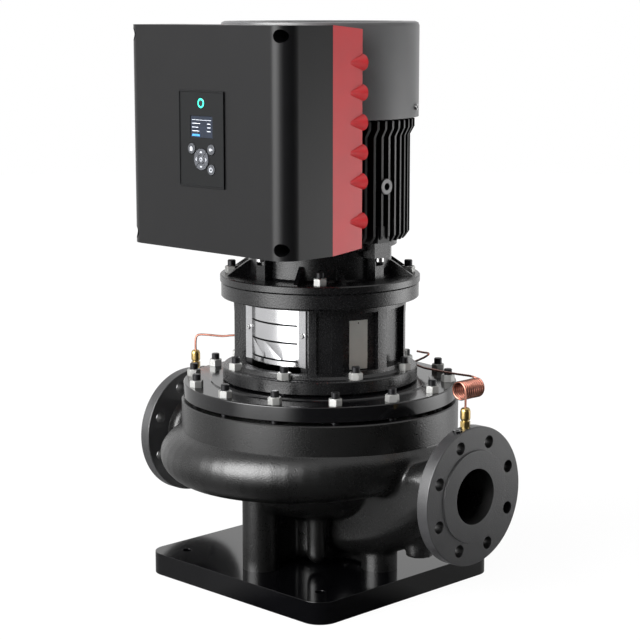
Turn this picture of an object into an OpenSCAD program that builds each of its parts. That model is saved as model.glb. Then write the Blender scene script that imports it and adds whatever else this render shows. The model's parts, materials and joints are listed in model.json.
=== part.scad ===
// Inline centrifugal pump with a motor stool, a finned motor and a drive on the motor.
// Origin on the shaft axis at the underside of the base plate, suction port towards +X,
// discharge port towards -X, drive towards -Y.

/* [Base plate] */
// Side of the square base plate
base_side = 376; // [350:2:420]
// Thickness of the base plate
base_t = 33; // [25:1:36]
// Corner radius of the base plate
base_corner_r = 30; // [10:1:32]
// Pitch of the four floor bolts
base_bolt_pitch = 290; // [270:2:300]
// Diameter of the floor bolt holes
base_hole_d = 14; // [12:1:22]

/* [Ports] */
// Distance between the two port faces
port_span = 620; // [600:2:680]
// Height of the port axis above the floor
port_z = 177; // [172:1:190]
// Bore of both ports
port_bore = 80; // [74:1:84]
// Wall of the ports and passages
port_wall = 10; // [8:0.5:12]
// Outer diameter of the port flanges
flange_d = 200; // [194:1:210]
// Thickness of the port flanges with their raised face
flange_t = 22; // [18:1:26]
// Diameter of the raised face
face_d = 133; // [125:1:138]
// Height of the raised face
face_t = 2.5; // [1:0.5:3]
// Pitch circle of the port bolts
flange_pcd = 160; // [158:1:166]
// Number of port bolts
flange_bolts = 8; // [8]
// Diameter of the port bolt holes
flange_hole_d = 18; // [14:1:19]

/* [Volute] */
// Outer radius of the volute section at its tongue
volute_r0 = 20; // [19:0.5:24]
// Outer radius of the volute section at its throat
volute_r1 = 52; // [48:0.5:54]
// Radius of the circle that the sections stand on
volute_base_r = 139.5; // [138:0.5:142]
// Height of the volute centre above the port axis
volute_rise = 27; // [24:1:30]
// Casing wall of the volute
volute_wall = 9; // [7:0.5:11]
// Outer radius of the casing band that takes the head
band_r = 209.5; // [207.5:0.5:214]
// Bore of the casing band
band_bore_r = 172; // [168:0.5:174]
// Radius of the impeller chamber
chamber_r = 152; // [149:0.5:154]
// Diameter of the casing legs
leg_d = 54; // [40:1:58]
// Distance of the legs from the shaft axis
leg_reach = 125; // [118:1:130]

/* [Impeller] */
// Outer diameter of the impeller
impeller_d = 260; // [240:1:266]
// Outlet width between the shrouds
impeller_b2 = 14; // [10:0.5:16]
// Number of blades
blade_count = 7; // [5:1:8]
// Thickness of a blade
blade_t = 4; // [3:0.5:5]
// Thickness of the two shrouds
shroud_t = 4; // [3:0.5:5]
// Radius of the impeller eye
eye_r = 40; // [37:0.5:42]

/* [Pump head] */
// Outer radius of the head plate
head_r = 206.4; // [205:0.2:209]
// Thickness of the head plate
head_t = 22.6; // [20:0.2:26]
// Number of head studs
head_studs_n = 14; // [12:2:16]
// Radius of the head stud circle
head_pcr = 193.6; // [192:0.2:194.4]
// Radius of the raised register on the head
register_r = 166; // [160:1:172]

/* [Motor stool] */
// Height of the stool between the head and the motor flange
stool_h = 147; // [140:1:160]
// Outer radius of the stool body
stool_r = 129; // [127.5:0.5:130]
// Wall of the stool body
stool_wall = 16; // [14:0.5:17]
// Outer radius of the stool foot flange
stool_foot_r = 147; // [146:0.5:150]
// Step from the motor flange rim in to the rim of the stool top flange
stool_top_step = 1.7; // [0.5:0.1:3]
// Radius of the stool stud circle
stool_pcr = 135.4; // [135:0.1:137]
// Width of the window between its inner corners
window_w = 128; // [120:1:132]
// Thickness of the guard sheet
guard_t = 1.5; // [1:0.1:2]

/* [Motor] */
// Outer diameter of the motor flange
motor_flange_d = 300; // [296:1:304]
// Distance from the motor flange rim to the middle of its bolts
motor_bolt_edge = 17.5; // [16.5:0.5:19]
// Height of the end shield between the flange face and the frame
shield_h = 67.2; // [64:0.2:72]
// Length of the finned frame
frame_h = 179; // [172:1:200]
// Outer radius of the frame shell under the fins
frame_shell_r = 104; // [102:0.5:108]
// Radius over the fin tips
fin_tip_r = 134; // [128:0.5:138]
// Pitch of the fins
fin_pitch = 14.5; // [12:0.5:17]
// Thickness of a fin
fin_t = 4; // [3:0.5:5]
// Diameter of the motor shaft end
motor_shaft_d = 38; // [36:1:39]
// Length of the motor shaft end below the flange face
motor_shaft_l = 80; // [74:1:84]
// Outer radius of the fan cover
fan_cover_r = 146; // [144:0.5:148]
// Height of the fan cover
fan_cover_h = 138; // [130:1:150]
// Number of fan blades
fan_blades = 9; // [6:1:12]

/* [Drive] */
// Width of the drive
drive_w = 330; // [322:1:340]
// Height of the drive
drive_h = 315; // [310:1:325]
// Distance of the drive front from the shaft axis
drive_front = 232; // [226:1:240]
// Distance of the joint between cover and housing from the shaft axis
drive_joint = 140; // [136:1:146]
// Distance of the back edge of the housing from the shaft axis
drive_back = 80; // [76:1:90]
// Radius of the vertical edges of the drive cover
drive_corner_r = 28; // [20:1:30]
// Wall of the drive cover
drive_wall = 4; // [3:0.5:5]
// Diameter of the deep screw holes in the drive cover
drive_hole_d = 17.7; // [15:0.1:19]

/* [Control panel] */
// Width of the control panel
panel_w = 94; // [88:1:104]
// Height of the control panel
panel_h = 134.5; // [130:0.5:150]
// Diameter of the round keys and of the status light
key_d = 15; // [12:0.5:16]
// Outer diameter of the ring of arrow keys
pad_d = 30; // [26:0.5:32]
// Travel of the keys
key_travel = 0.8; // [0.4:0.1:1.2]

/* [Sensing pipes] */
// Diameter of the copper pipe
pipe_d = 3.6; // [3:0.1:3.8]
// Mean radius of the pipe coil
coil_r = 12.4; // [11:0.1:13]
// Number of whole turns of the coil
coil_turns = 9; // [7:1:9]
// Pitch of the coil
coil_pitch = 4.1; // [4:0.05:4.4]

/* [Hidden] */
$fn = 64;

// Running and seating clearances
fit = 0.02;
gap = 0.3;

// Heights from the floor up
volute_z = port_z + volute_rise;
floor_z = port_z + 9;
floor_t = 10;
chamber_top_z = volute_z + 24;
band_low_z = port_z + 54;
band_top_z = port_z + 98.6;
seal_ring_t = 1;
head_z = band_top_z + 4.5;
head_top_z = head_z + head_t;
register_t = 2;
stool_z = head_top_z + 4.1;
stool_foot_t = 19.6;
stool_top_t = 22.2;
motor_z = stool_z + stool_h;
motor_flange_t = 11.2;
frame_z = motor_z + shield_h;
frame_top_z = frame_z + frame_h;
drive_z = frame_z - 3;
drive_top_z = drive_z + drive_h;
panel_mid_z = drive_z + 157.7;

// Radii that follow from the bores
port_r = port_bore / 2;
port_out_r = port_r + port_wall;
port_half = port_span / 2;
neck_x = port_half - 48;
suction_floor_z = port_z - 79;
head_spigot_r = band_bore_r - 0.1;
stool_in_r = stool_r - stool_wall;
motor_flange_r = motor_flange_d / 2;
motor_flange_pcd = motor_flange_d - 2 * motor_bolt_edge;
stool_top_r = motor_flange_r - stool_top_step;

// Threads and nuts of the M12 studs
stud_r = 6;
stud_hole_r = 7;
nut_af = 18;
nut_h = 10.5;
stud_end = 9;

// Helpers for vectors, lofts and patterns
function unit(v) = v / norm(v);
function bezier(a, b, c, d, t) =
  pow(1 - t, 3) * a + 3 * pow(1 - t, 2) * t * b + 3 * (1 - t) * t * t * c + pow(t, 3) * d;
function bezier_dir(a, b, c, d, t) =
  unit(3 * pow(1 - t, 2) * (b - a) + 6 * (1 - t) * t * (c - b) + 3 * t * t * (d - c));
function section(centre, dir, r, sides) =
  let (side = unit(cross(dir, [0, 0, 1])), up = cross(side, dir))
  [for (i = [0 : sides - 1]) centre + r * (cos(360 * i / sides) * side + sin(360 * i / sides) * up)];

// Ring of 20 points with upright flat sides: they start at the crease angle below the middle
function flat_sided(crease, grow) = let (w = cos(crease), top = 1 - 0.4 * (grow - 1)) concat(
  [for (i = [0 : 11]) let (a = -crease + (180 + 2 * crease) * i / 12)
    [max(-w, min(w, grow * cos(a))), min(top, (sin(a) > 0 ? grow : 1) * sin(a))]],
  [for (i = [0 : 7]) let (a = 180 + crease + (180 - 2 * crease) * i / 8) [cos(a), sin(a)]]
);
function flat_section(centre, dir, r, crease, grow) =
  let (side = unit(cross(dir, [0, 0, 1])), up = cross(side, dir))
  [for (p = flat_sided(crease, grow)) centre + r * (p[0] * side + p[1] * up)];

// Closed solid through a list of rings with equal numbers of points
module loft(rings) {
  sides = len(rings[0]);
  last = len(rings) - 1;
  points = [for (one = rings) for (p = one) p];
  walls = [
    for (i = [0 : last - 1]) for (j = [0 : sides - 1])
      let (k = (j + 1) % sides, a = i * sides, b = a + sides)
      each [[a + j, b + k, b + j], [a + j, a + k, b + k]]
  ];
  start_cap = [[for (j = [sides - 1 : -1 : 0]) j]];
  end_cap = [[for (j = [0 : sides - 1]) last * sides + j]];
  polyhedron(points, concat(start_cap, walls, end_cap), convexity = 10);
}

module ring_copies(count, radius, start = 0) {
  for (i = [0 : count - 1])
    rotate(start + 360 * i / count) translate([radius, 0, 0]) children();
}

module at_angles(list) {
  for (a = list) rotate(a) children();
}

module tube(r_out, r_in, h) {
  difference() {
    cylinder(r = r_out, h = h);
    translate([0, 0, -1]) cylinder(r = r_in, h = h + 2);
  }
}

module hex_prism(af, h) {
  cylinder(d = af / cos(30), h = h, $fn = 6);
}

// Nut with chamfered corners and its threaded bore
module hex_nut(af, h, bore_r) {
  corner_r = af / cos(30) / 2;
  difference() {
    intersection() {
      hex_prism(af, h);
      rotate_extrude() polygon([
        [0, 0], [corner_r, 0], [corner_r, h - 1.4], [corner_r - 1.8, h], [0, h]
      ]);
    }
    translate([0, 0, -1]) cylinder(r = bore_r + fit, h = h + 2);
  }
}

// Stud with a chamfered end, from its foot upwards
module stud(r, h) {
  cylinder(r = r, h = h - 1);
  translate([0, 0, h - 1]) cylinder(r1 = r, r2 = r - 1, h = 1);
}

// Socket head screw pointing down, its head seated at the origin
module socket_screw(r, length, head_r, head_h) {
  translate([0, 0, -length]) cylinder(r = r, h = length);
  difference() {
    cylinder(r = head_r, h = head_h);
    translate([0, 0, head_h / 2]) hex_prism(head_r, head_h);
  }
}

// Base plate with rounded corners, floor bolt holes and counterbores for the foot screws
foot_screw_r = 8;
foot_head_r = 12;
foot_head_h = 14;
leg_angles = [0, 90, 180, 270];

module base_plate() {
  inner = base_side - 2 * base_corner_r;
  color("#1c1c1e") difference() {
    linear_extrude(base_t) {
      square([base_side, inner], center = true);
      square([inner, base_side], center = true);
      for (x = [-1, 1], y = [-1, 1])
        translate([x * inner / 2, y * inner / 2]) circle(base_corner_r);
    }
    for (x = [-1, 1], y = [-1, 1])
      translate([x * base_bolt_pitch / 2, y * base_bolt_pitch / 2, -1])
        cylinder(d = base_hole_d, h = base_t + 2);
    at_angles(leg_angles) translate([leg_reach, 0, -1]) {
      cylinder(r = foot_screw_r + 0.5, h = base_t + 2);
      cylinder(r = foot_head_r + 1, h = foot_head_h + 2);
    }
  }
}

module foot_screws() {
  color("#5c5c60") at_angles(leg_angles)
    translate([leg_reach, 0, foot_head_h + 1]) mirror([0, 0, 1])
      socket_screw(foot_screw_r - fit, base_t - foot_head_h + 15, foot_head_r, foot_head_h);
}

// Volute sections: they grow clockwise seen from above and end at the discharge neck
volute_wrap = 315;
function volute_r(wrap) = volute_r0 + (volute_r1 - volute_r0) * wrap / volute_wrap;
function volute_ring(wrap, inset, sides) =
  let (angle = 180 - wrap, r = volute_r(wrap), reach = volute_base_r + r)
  section([reach * cos(angle), reach * sin(angle), volute_z], [sin(angle), -cos(angle), 0],
    r - inset, sides);

throat_angle = 180 - volute_wrap;
throat_reach = volute_base_r + volute_r1;
throat = [throat_reach * cos(throat_angle), throat_reach * sin(throat_angle), volute_z];
throat_dir = [sin(throat_angle), -cos(throat_angle), 0];
discharge_in = [-neck_x, 0, port_z];
function discharge_ring(t, inset, sides) =
  section(bezier(throat, throat + 60 * throat_dir, discharge_in + [60, 0, 0], discharge_in, t),
    bezier_dir(throat, throat + 60 * throat_dir, discharge_in + [60, 0, 0], discharge_in, t),
    volute_r1 + (port_out_r - volute_r1) * t - inset, sides);
function volute_rings(inset, step, sides) = concat(
  [for (wrap = [15 : step : volute_wrap - 1]) volute_ring(wrap, inset, sides)],
  [for (i = [0 : 8]) discharge_ring(i / 8, inset, sides)]
);

// Suction passage: from the neck down under the volute to the axis
suction_in = [neck_x, 0, port_z];
suction_end = [60, 0, suction_floor_z];
function suction_ring(t, r, sides) =
  section(bezier(suction_in, suction_in - [27, 0, 0], suction_end + [110, 0, 0], suction_end, t),
    bezier_dir(suction_in, suction_in - [27, 0, 0], suction_end + [110, 0, 0], suction_end, t),
    r, sides);
function suction_rings(r, steps, sides) = concat(
  [for (i = [0 : steps]) suction_ring(i / steps, r, sides)],
  [section([0, 0, suction_floor_z], [-1, 0, 0], r, sides)]
);

// Outside of the suction passage: round at the neck, flat sided under the volute
function suction_skin(t) =
  flat_section(bezier(suction_in, suction_in - [27, 0, 0], suction_end + [110, 0, 0], suction_end, t),
    bezier_dir(suction_in, suction_in - [27, 0, 0], suction_end + [110, 0, 0], suction_end, t),
    port_out_r - skin + 2 * t, 10 + 17 * t, 1 + 0.2 * min(1, 4 * t));
function suction_outside() = concat(
  [for (i = [0 : 12]) suction_skin(i / 12)],
  [flat_section([0, 0, suction_floor_z], [-1, 0, 0], port_out_r - skin + 2, 27, 1.2)]
);

eye_seat_r = eye_r + 14;
eye_seat_h = 20;
wear_ring_in_r = eye_r + 8;
drain_angle = -48;
drain_reach = 90;

// Port end: neck, flange with its raised face, bolt holes and the two tapped holes in its rim.
// The one with the fitting stands next to the one that is plugged.
tap_x = port_half - 11;
tap_y = -11.6;
plug_y = -28.5;
tap_r = 5;
tap_depth = 14;
tap_z = port_z + sqrt(pow(flange_d / 2, 2) - pow(abs(tap_y) + 7, 2));
plug_z = port_z + sqrt(pow(flange_d / 2, 2) - pow(abs(plug_y) + 5, 2));

module rim_taps() {
  translate([tap_x, tap_y, tap_z - tap_depth]) cylinder(r = tap_r, h = tap_depth + 10);
  translate([tap_x, tap_y, tap_z]) cylinder(r = 8.5, h = 10);
  translate([tap_x, plug_y, plug_z - tap_depth]) cylinder(r = tap_r, h = tap_depth + 10);
  translate([tap_x, plug_y, plug_z + 1.5]) cylinder(r = 7, h = 10);
}

module port_end(flip) {
  back = port_half - flange_t;
  rim = port_half - face_t;
  difference() {
    translate([0, 0, port_z]) rotate([0, 90, 0]) rotate_extrude() polygon([
      [port_r, neck_x - 6], [port_out_r, neck_x - 6], [port_out_r, back - 14],
      [port_out_r + 3, back - 6], [port_out_r + 10, back], [flange_d / 2 - 1, back],
      [flange_d / 2, back + 1], [flange_d / 2, rim - 1], [flange_d / 2 - 1, rim],
      [face_d / 2, rim], [face_d / 2, port_half], [port_r, port_half]
    ]);
    mirror([0, flip, 0]) translate([0, 0, port_z]) rotate([0, 90, 0]) rotate(22.5)
      ring_copies(flange_bolts, flange_pcd / 2) translate([0, 0, back - 1])
        cylinder(d = flange_hole_d, h = flange_t + 2);
    rim_taps();
  }
}

// Rough casting: scroll, suction passage, chamber, bosses and legs, without machined faces
joint_z = band_top_z - 21.6;
skin = 0.3;
foot_h = 22;
barrel_r = 62;
barrel_low_z = suction_floor_z - port_out_r - 2;
bowl_r = 147;
web_t = 16;
web_gap = 7;

// Leg between its machined foot and the casing, a little wider where it meets the casing
module leg(top_z) {
  low_z = base_t + foot_h - 3;
  translate([leg_reach, 0, low_z]) cylinder(r = leg_d / 2 - skin, h = top_z - low_z, $fn = 36);
  translate([leg_reach, 0, top_z - 8])
    cylinder(r1 = leg_d / 2 - skin, r2 = leg_d / 2 + 3, h = 8, $fn = 36);
}

module casting_outside() {
  loft(volute_rings(skin, 10, 20));
  loft(suction_outside());
  rotate(167) translate([volute_base_r + volute_r(15), 0, volute_z])
    sphere(r = volute_r(15) - 2 * skin, $fn = 22);
  rotate_extrude($fn = 72) polygon([
    [0, barrel_low_z], [barrel_r - 18, barrel_low_z], [barrel_r - 6, barrel_low_z + 7],
    [barrel_r, barrel_low_z + 18], [barrel_r, suction_floor_z], [barrel_r + 10, floor_z - 81],
    [bowl_r - 39, floor_z - 72], [bowl_r - 21, floor_z - 63], [bowl_r - 9, floor_z - 53],
    [bowl_r, floor_z - 40], [chamber_r + 7, floor_z - floor_t], [chamber_r + 10, floor_z - 6],
    [chamber_r + 10, band_low_z - 9], [band_r - 7, band_low_z - 5],
    [band_r - skin, band_low_z], [band_r - skin, joint_z], [0, joint_z]
  ]);
  rotate(90) leg(floor_z - 4);
  rotate(180) leg(floor_z - 4);
  rotate(270) leg(floor_z - 4);
  leg(suction_floor_z + 2);
  at_angles(leg_angles) translate([barrel_r - 10, -web_t / 2, base_t + web_gap])
    cube([leg_reach - barrel_r - 6, web_t, floor_z - 70 - base_t - web_gap]);
  translate([205, 0, port_z - 108]) cylinder(r = 20, h = 43, $fn = 32);
  rotate(drain_angle) {
    hull() {
      translate([drain_reach, 0, suction_floor_z - 43]) sphere(r = 12, $fn = 24);
      translate([drain_reach, 0, floor_z - 8]) cylinder(r = 12, h = 1, $fn = 24);
    }
    hull() {
      translate([20, -8, suction_floor_z - 22]) cube([20, 16, floor_z - suction_floor_z + 12]);
      translate([drain_reach - 8, -8, suction_floor_z - 36])
        cube([8, 16, floor_z - suction_floor_z + 26]);
    }
  }
}

module casting_inside() {
  loft(volute_rings(volute_wall, 12, 16));
  loft(suction_rings(port_r + 1, 12, 16));
  for (side = [0, 180]) rotate(side) translate([neck_x - 7, 0, port_z])
    rotate([0, 90, 0]) cylinder(r = port_r + 1.2, h = 13, $fn = 48);
  translate([0, 0, suction_floor_z]) sphere(r = port_r + 1, $fn = 32);
  rotate_extrude($fn = 72) polygon([
    [0, suction_floor_z], [barrel_r - 10, suction_floor_z], [barrel_r + 1, floor_z - 73],
    [bowl_r - 43, floor_z - 63], [bowl_r - 27, floor_z - 54], [bowl_r - 17, floor_z - 45],
    [bowl_r - 10, floor_z - 34], [bowl_r - 8, floor_z - 20], [bowl_r - 11, floor_z - 14],
    [eye_seat_r + 18, floor_z - 14], [eye_seat_r + 10, floor_z - eye_seat_h], [0, floor_z - eye_seat_h]
  ]);
  translate([0, 0, floor_z - eye_seat_h]) cylinder(r = eye_seat_r + 2, h = eye_seat_h + 1, $fn = 40);
  translate([0, 0, floor_z])
    cylinder(r = chamber_r, h = chamber_top_z - floor_z + 1, $fn = 72);
  translate([0, 0, chamber_top_z])
    cylinder(r = band_bore_r + 1, h = joint_z - chamber_top_z + 10, $fn = 72);
}

// Worked out as one mesh at its own size, which keeps the unions of its many faces quick
module rough_casting() {
  resize([0, 0, 0]) difference() {
    union() casting_outside();
    union() casting_inside();
  }
}

// Machined band on top of the casting with the spigot bore and the tapped stud holes
stud_depth = 20;

module casing_band() {
  difference() {
    rotate_extrude() polygon([
      [band_bore_r, joint_z], [band_r, joint_z], [band_r, band_top_z - 1.5],
      [band_r - 1.5, band_top_z], [band_bore_r, band_top_z]
    ]);
    ring_copies(head_studs_n, head_pcr, 90) translate([0, 0, band_top_z - stud_depth])
      cylinder(r = stud_r + fit, h = stud_depth + 1);
  }
}

// Machined lower end of a leg with its tapped hole
module casing_foot() {
  translate([leg_reach, 0, base_t]) difference() {
    cylinder(r = leg_d / 2, h = foot_h);
    translate([0, 0, -1]) cylinder(r = foot_screw_r, h = foot_h - 3);
  }
}

module volute_casing() {
  color("#2b2b2d") {
    rough_casting();
    casing_band();
    for (flip = [0, 1]) rotate(180 * flip) port_end(flip);
    at_angles(leg_angles) casing_foot();
    translate([0, 0, floor_z - eye_seat_h]) tube(eye_seat_r + 6, eye_seat_r, eye_seat_h);
  }
}

module wear_ring() {
  color("#b9a06a") translate([0, 0, floor_z - eye_seat_h])
    tube(eye_seat_r - fit, wear_ring_in_r, eye_seat_h - 2);
}

// Pump head: plate, spigot into the band, dish and the seal chamber in its hub
seal_r = 32;
seat_r = 24;
seat_h = 10;
shaft_seal_r = 14;
seat_z = head_z - 12;
dish_r = 112;

module pump_head() {
  hub_r = 50;
  color("#1b1b1d") difference() {
    rotate_extrude() polygon([
      [0, chamber_top_z + gap], [head_spigot_r, chamber_top_z + gap],
      [head_spigot_r, head_z - 3.5], [head_spigot_r + 10, head_z - 3.5],
      [head_spigot_r + 10, head_z], [head_r - 1, head_z], [head_r, head_z + 1],
      [head_r, head_top_z - 1.5], [head_r - 1.5, head_top_z], [register_r, head_top_z],
      [register_r - 1, head_top_z + register_t], [stool_r - 3, head_top_z + register_t],
      [stool_r - 3, stool_z], [dish_r, stool_z], [dish_r, head_z + 2],
      [head_spigot_r - 17, head_z - 4], [head_spigot_r - 17, chamber_top_z + 14],
      [hub_r, chamber_top_z + 14], [hub_r, seat_z + seat_h + 7], [0, seat_z + seat_h + 7]
    ]);
    translate([0, 0, chamber_top_z - 1]) cylinder(r = seal_r, h = seat_z - chamber_top_z + 1);
    translate([0, 0, seat_z - 1]) cylinder(r = seat_r, h = seat_h + 1);
    translate([0, 0, seat_z]) cylinder(r = shaft_seal_r + 3, h = seat_h + 20);
    ring_copies(head_studs_n, head_pcr, 90) translate([0, 0, head_z - 1])
      cylinder(r = stud_hole_r, h = head_t + 5);
    ring_copies(8, stool_pcr, 22.5) translate([0, 0, head_top_z - 16])
      cylinder(r = stud_r + fit, h = 30);
    rotate(vent_angle) translate([vent_reach, 0, head_top_z - 12])
      cylinder(r = vent_r + 0.05, h = 30);
  }
}

module head_seal() {
  color("#4f5a50") translate([0, 0, band_top_z])
    tube(head_spigot_r + 10, head_spigot_r + gap, seal_ring_t);
}

module head_studs() {
  color("#202022") ring_copies(head_studs_n, head_pcr, 90)
    translate([0, 0, band_top_z - stud_depth + 1])
      stud(stud_r, head_top_z + nut_h + stud_end - band_top_z + stud_depth - 1);
}

module head_nuts() {
  color("#c4c4c0") ring_copies(head_studs_n, head_pcr, 90)
    translate([0, 0, head_top_z]) hex_nut(nut_af, nut_h, stud_r);
}

// Air vent screw in the head, behind the stool
vent_angle = 154.3;
vent_reach = 156;
vent_r = 5;

module air_vent_screw() {
  color("#b8923e") rotate(vent_angle) translate([vent_reach, 0, head_top_z + register_t]) {
    translate([0, 0, -11]) cylinder(r = vent_r, h = 12);
    translate([0, 0, 0.05]) difference() {
      union() {
        hex_prism(13, 7);
        cylinder(r = 4, h = 11);
      }
      translate([4, 0, 9]) rotate([0, -90, 0]) cylinder(r = 0.9, h = 8);
    }
  }
}

// Impeller: two shrouds, backward curved blades and the hub
tip_r = impeller_d / 2;
hub_r = 24;
shaft_bore_r = 12;
hub_low_z = volute_z - 21;
hub_top_z = chamber_top_z - 2;
back_z = volute_z + impeller_b2 / 2;
front_z = volute_z - impeller_b2 / 2;
neck_low_z = floor_z - eye_seat_h + 2;
neck_top_z = floor_z + 1;

// Curve of the front shroud from the eye to the tip
function shroud_curve(offset) = [
  for (i = [0 : 10])
    let (a = 90 * i / 10, run = tip_r - eye_r - 2, rise = front_z - neck_top_z)
    [eye_r + 2 + offset * cos(a) + run * (1 - cos(a)),
      neck_top_z + rise * sin(a) - offset * sin(a)]
];

// Blade centreline: radius and lag angle from the eye to the tip
blade_in_r = 50;
blade_sweep = 95;
function blade_point(t, side) =
  let (r = blade_in_r + (tip_r - blade_in_r) * t, a = blade_sweep * (1 - pow(1 - t, 1.6)),
    edge = side * blade_t / 2 / r * 57.3 * 1.6)
  r * [cos(a + edge), sin(a + edge)];
blade_steps = 12;
blade_outline = concat(
  [for (i = [0 : blade_steps]) blade_point(i / blade_steps, -1)],
  [for (i = [blade_steps : -1 : 0]) blade_point(i / blade_steps, 1)]
);

module impeller() {
  inner_curve = shroud_curve(0);
  outer_curve = shroud_curve(shroud_t);
  color("#a9a49a") difference() {
    union() {
      rotate_extrude() polygon([
        [0, hub_low_z], [hub_r - 6, hub_low_z], [hub_r, hub_low_z + 5],
        [hub_r + 6, back_z - 12], [hub_r + 22, back_z - 4], [hub_r + 48, back_z],
        [tip_r, back_z], [tip_r, back_z + shroud_t], [hub_r + 12, back_z + shroud_t],
        [hub_r, back_z + shroud_t + 5], [hub_r, hub_top_z], [0, hub_top_z]
      ]);
      rotate_extrude() polygon(concat(
        [[eye_r + 2, neck_low_z]], inner_curve,
        [[tip_r, front_z], [tip_r, front_z - shroud_t]],
        [for (i = [9 : -1 : 2]) outer_curve[i]],
        [[wear_ring_in_r - gap, neck_top_z], [wear_ring_in_r - gap, neck_low_z]]
      ));
      intersection() {
        translate([0, 0, neck_low_z]) linear_extrude(back_z - neck_low_z + 1)
          for (i = [0 : blade_count - 1]) rotate(360 * i / blade_count) polygon(blade_outline);
        rotate_extrude() polygon(concat(
          [[blade_in_r - 2, back_z + 0.5], [tip_r - 1, back_z + 0.5], [tip_r - 1, front_z - 0.5]],
          [for (i = [9 : -1 : 3]) inner_curve[i] - [0, 0.5]],
          [[blade_in_r - 2, inner_curve[2][1] - 0.5]]
        ));
      }
    }
    translate([0, 0, hub_low_z - 1]) cylinder(r = shaft_bore_r + fit, h = 80);
  }
}

// Nut and washer that hold the impeller on the shaft
module impeller_nut() {
  nut_height = 12;
  color("#b5b5b2") translate([0, 0, hub_low_z - 2 - nut_height]) difference() {
    union() {
      hex_prism(24, nut_height);
      translate([0, 0, nut_height]) cylinder(r = 17, h = 2);
    }
    translate([0, 0, 1.6]) cylinder(r = 8 + fit, h = 20);
  }
}

// Stub shaft: impeller seat, seal seat and the sleeve that takes the motor shaft
motor_shaft_r = motor_shaft_d / 2;
shaft_end_z = motor_z - motor_shaft_l;
sleeve_r = motor_shaft_r + 11;
sleeve_top_z = shaft_end_z + 66;
key_w = 10;
key_h = 8;
key_len = 45;

module pump_shaft() {
  color("#b3b3b1") difference() {
    rotate_extrude() polygon([
      [0, hub_low_z - 12], [7, hub_low_z - 12], [8, hub_low_z - 11], [8, hub_low_z],
      [shaft_bore_r, hub_low_z], [shaft_bore_r, hub_top_z + 0.2], [shaft_seal_r, hub_top_z + 0.2],
      [shaft_seal_r, head_top_z + 4], [20, head_top_z + 6], [20, shaft_end_z - 38],
      [sleeve_r, shaft_end_z - 20], [sleeve_r, sleeve_top_z], [0, sleeve_top_z]
    ]);
    translate([0, 0, shaft_end_z - 1]) cylinder(r = motor_shaft_r + fit, h = 100);
    translate([0, -key_w / 2 - fit, shaft_end_z - 1])
      cube([motor_shaft_r + key_h - 5 + fit, key_w + 2 * fit, 100]);
  }
}

module shaft_key() {
  color("#8f8f8c") translate([motor_shaft_r - 5, -key_w / 2, shaft_end_z + 6])
    cube([key_h, key_w, key_len]);
}

// Clamp in two halves round the sleeve
clamp_r = sleeve_r + 15;
clamp_h = 18;
clamp_z = sleeve_top_z - clamp_h - 3;
clamp_screw_x = sleeve_r + 7;

module shaft_clamp() {
  color("#7d7d80") translate([0, 0, clamp_z]) difference() {
    tube(clamp_r, sleeve_r + fit, clamp_h);
    translate([-clamp_r - 1, -1, -1]) cube([2 * clamp_r + 2, 2, clamp_h + 2]);
    for (x = [-1, 1]) translate([x * clamp_screw_x, 0, clamp_h / 2]) rotate([90, 0, 0]) {
      translate([0, 0, -clamp_r]) cylinder(r = 4, h = 2 * clamp_r);
      translate([0, 0, 14]) cylinder(r = 7, h = 30);
    }
  }
}

module clamp_screws() {
  color("#3c3c40") for (x = [-1, 1])
    translate([x * clamp_screw_x, -14, clamp_z + clamp_h / 2]) rotate([90, 0, 0])
      socket_screw(4 - fit, 30, 6.5, 8);
}

// Mechanical seal: fixed seat, turning face and its spring
seal_face_h = 8;
seal_gap = 0.05;

module seal_seat() {
  color("#8c8f94") translate([0, 0, seat_z]) tube(seat_r - fit, shaft_seal_r + 1, seat_h);
}

module seal_face() {
  color("#3a3a3c") translate([0, 0, seat_z - seal_gap - seal_face_h])
    tube(seat_r - 2, shaft_seal_r + fit, seal_face_h);
}

spring_r = 18;
spring_wire_r = 1.4;
spring_low_z = hub_top_z + spring_wire_r + 0.4;
spring_top_z = seat_z - seal_gap - seal_face_h - spring_wire_r - gap;
spring_turns = 4;
spring_steps = 14;

module seal_spring() {
  count = spring_turns * spring_steps;
  centre = [for (i = [0 : count]) let (a = 360 * i / spring_steps)
    [spring_r * cos(a), spring_r * sin(a), spring_low_z + (spring_top_z - spring_low_z) * i / count]];
  color("#c9c9c6") loft([for (i = [0 : count]) let (a = 360 * i / spring_steps)
    section(centre[i], unit([-sin(a), cos(a), 0.1]), spring_wire_r, 6)]);
}

// Motor stool: shell with two windows, ribs and recessed panels on the closed sides
stool_low_z = stool_z + stool_foot_t;
stool_high_z = motor_z - stool_top_t;
window_low_z = stool_low_z + 6;
window_high_z = stool_high_z - 5;
guard_y = 91.7;
panel_angle = 17;
panel_reach = stool_r - 11;
panel_half = 29;

module stool_window() {
  half = window_w / 2;
  flare = 20;
  translate([0, 0, window_low_z]) linear_extrude(window_high_z - window_low_z) polygon([
    [-half, -60], [half, -60], [half, -guard_y], [half + flare * 1.44, -guard_y - flare],
    [half + flare * 1.44, -200], [-half - flare * 1.44, -200],
    [-half - flare * 1.44, -guard_y - flare], [-half, -guard_y]
  ]);
}

// Pad inside the stool wall that carries one edge of a guard
module guard_pad(side) {
  intersection() {
    translate([side * 63 - 11, -guard_y, stool_low_z - 2])
      cube([22, 12, stool_high_z - stool_low_z + 4]);
    cylinder(r = stool_in_r + 1, h = 2000);
  }
}

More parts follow.
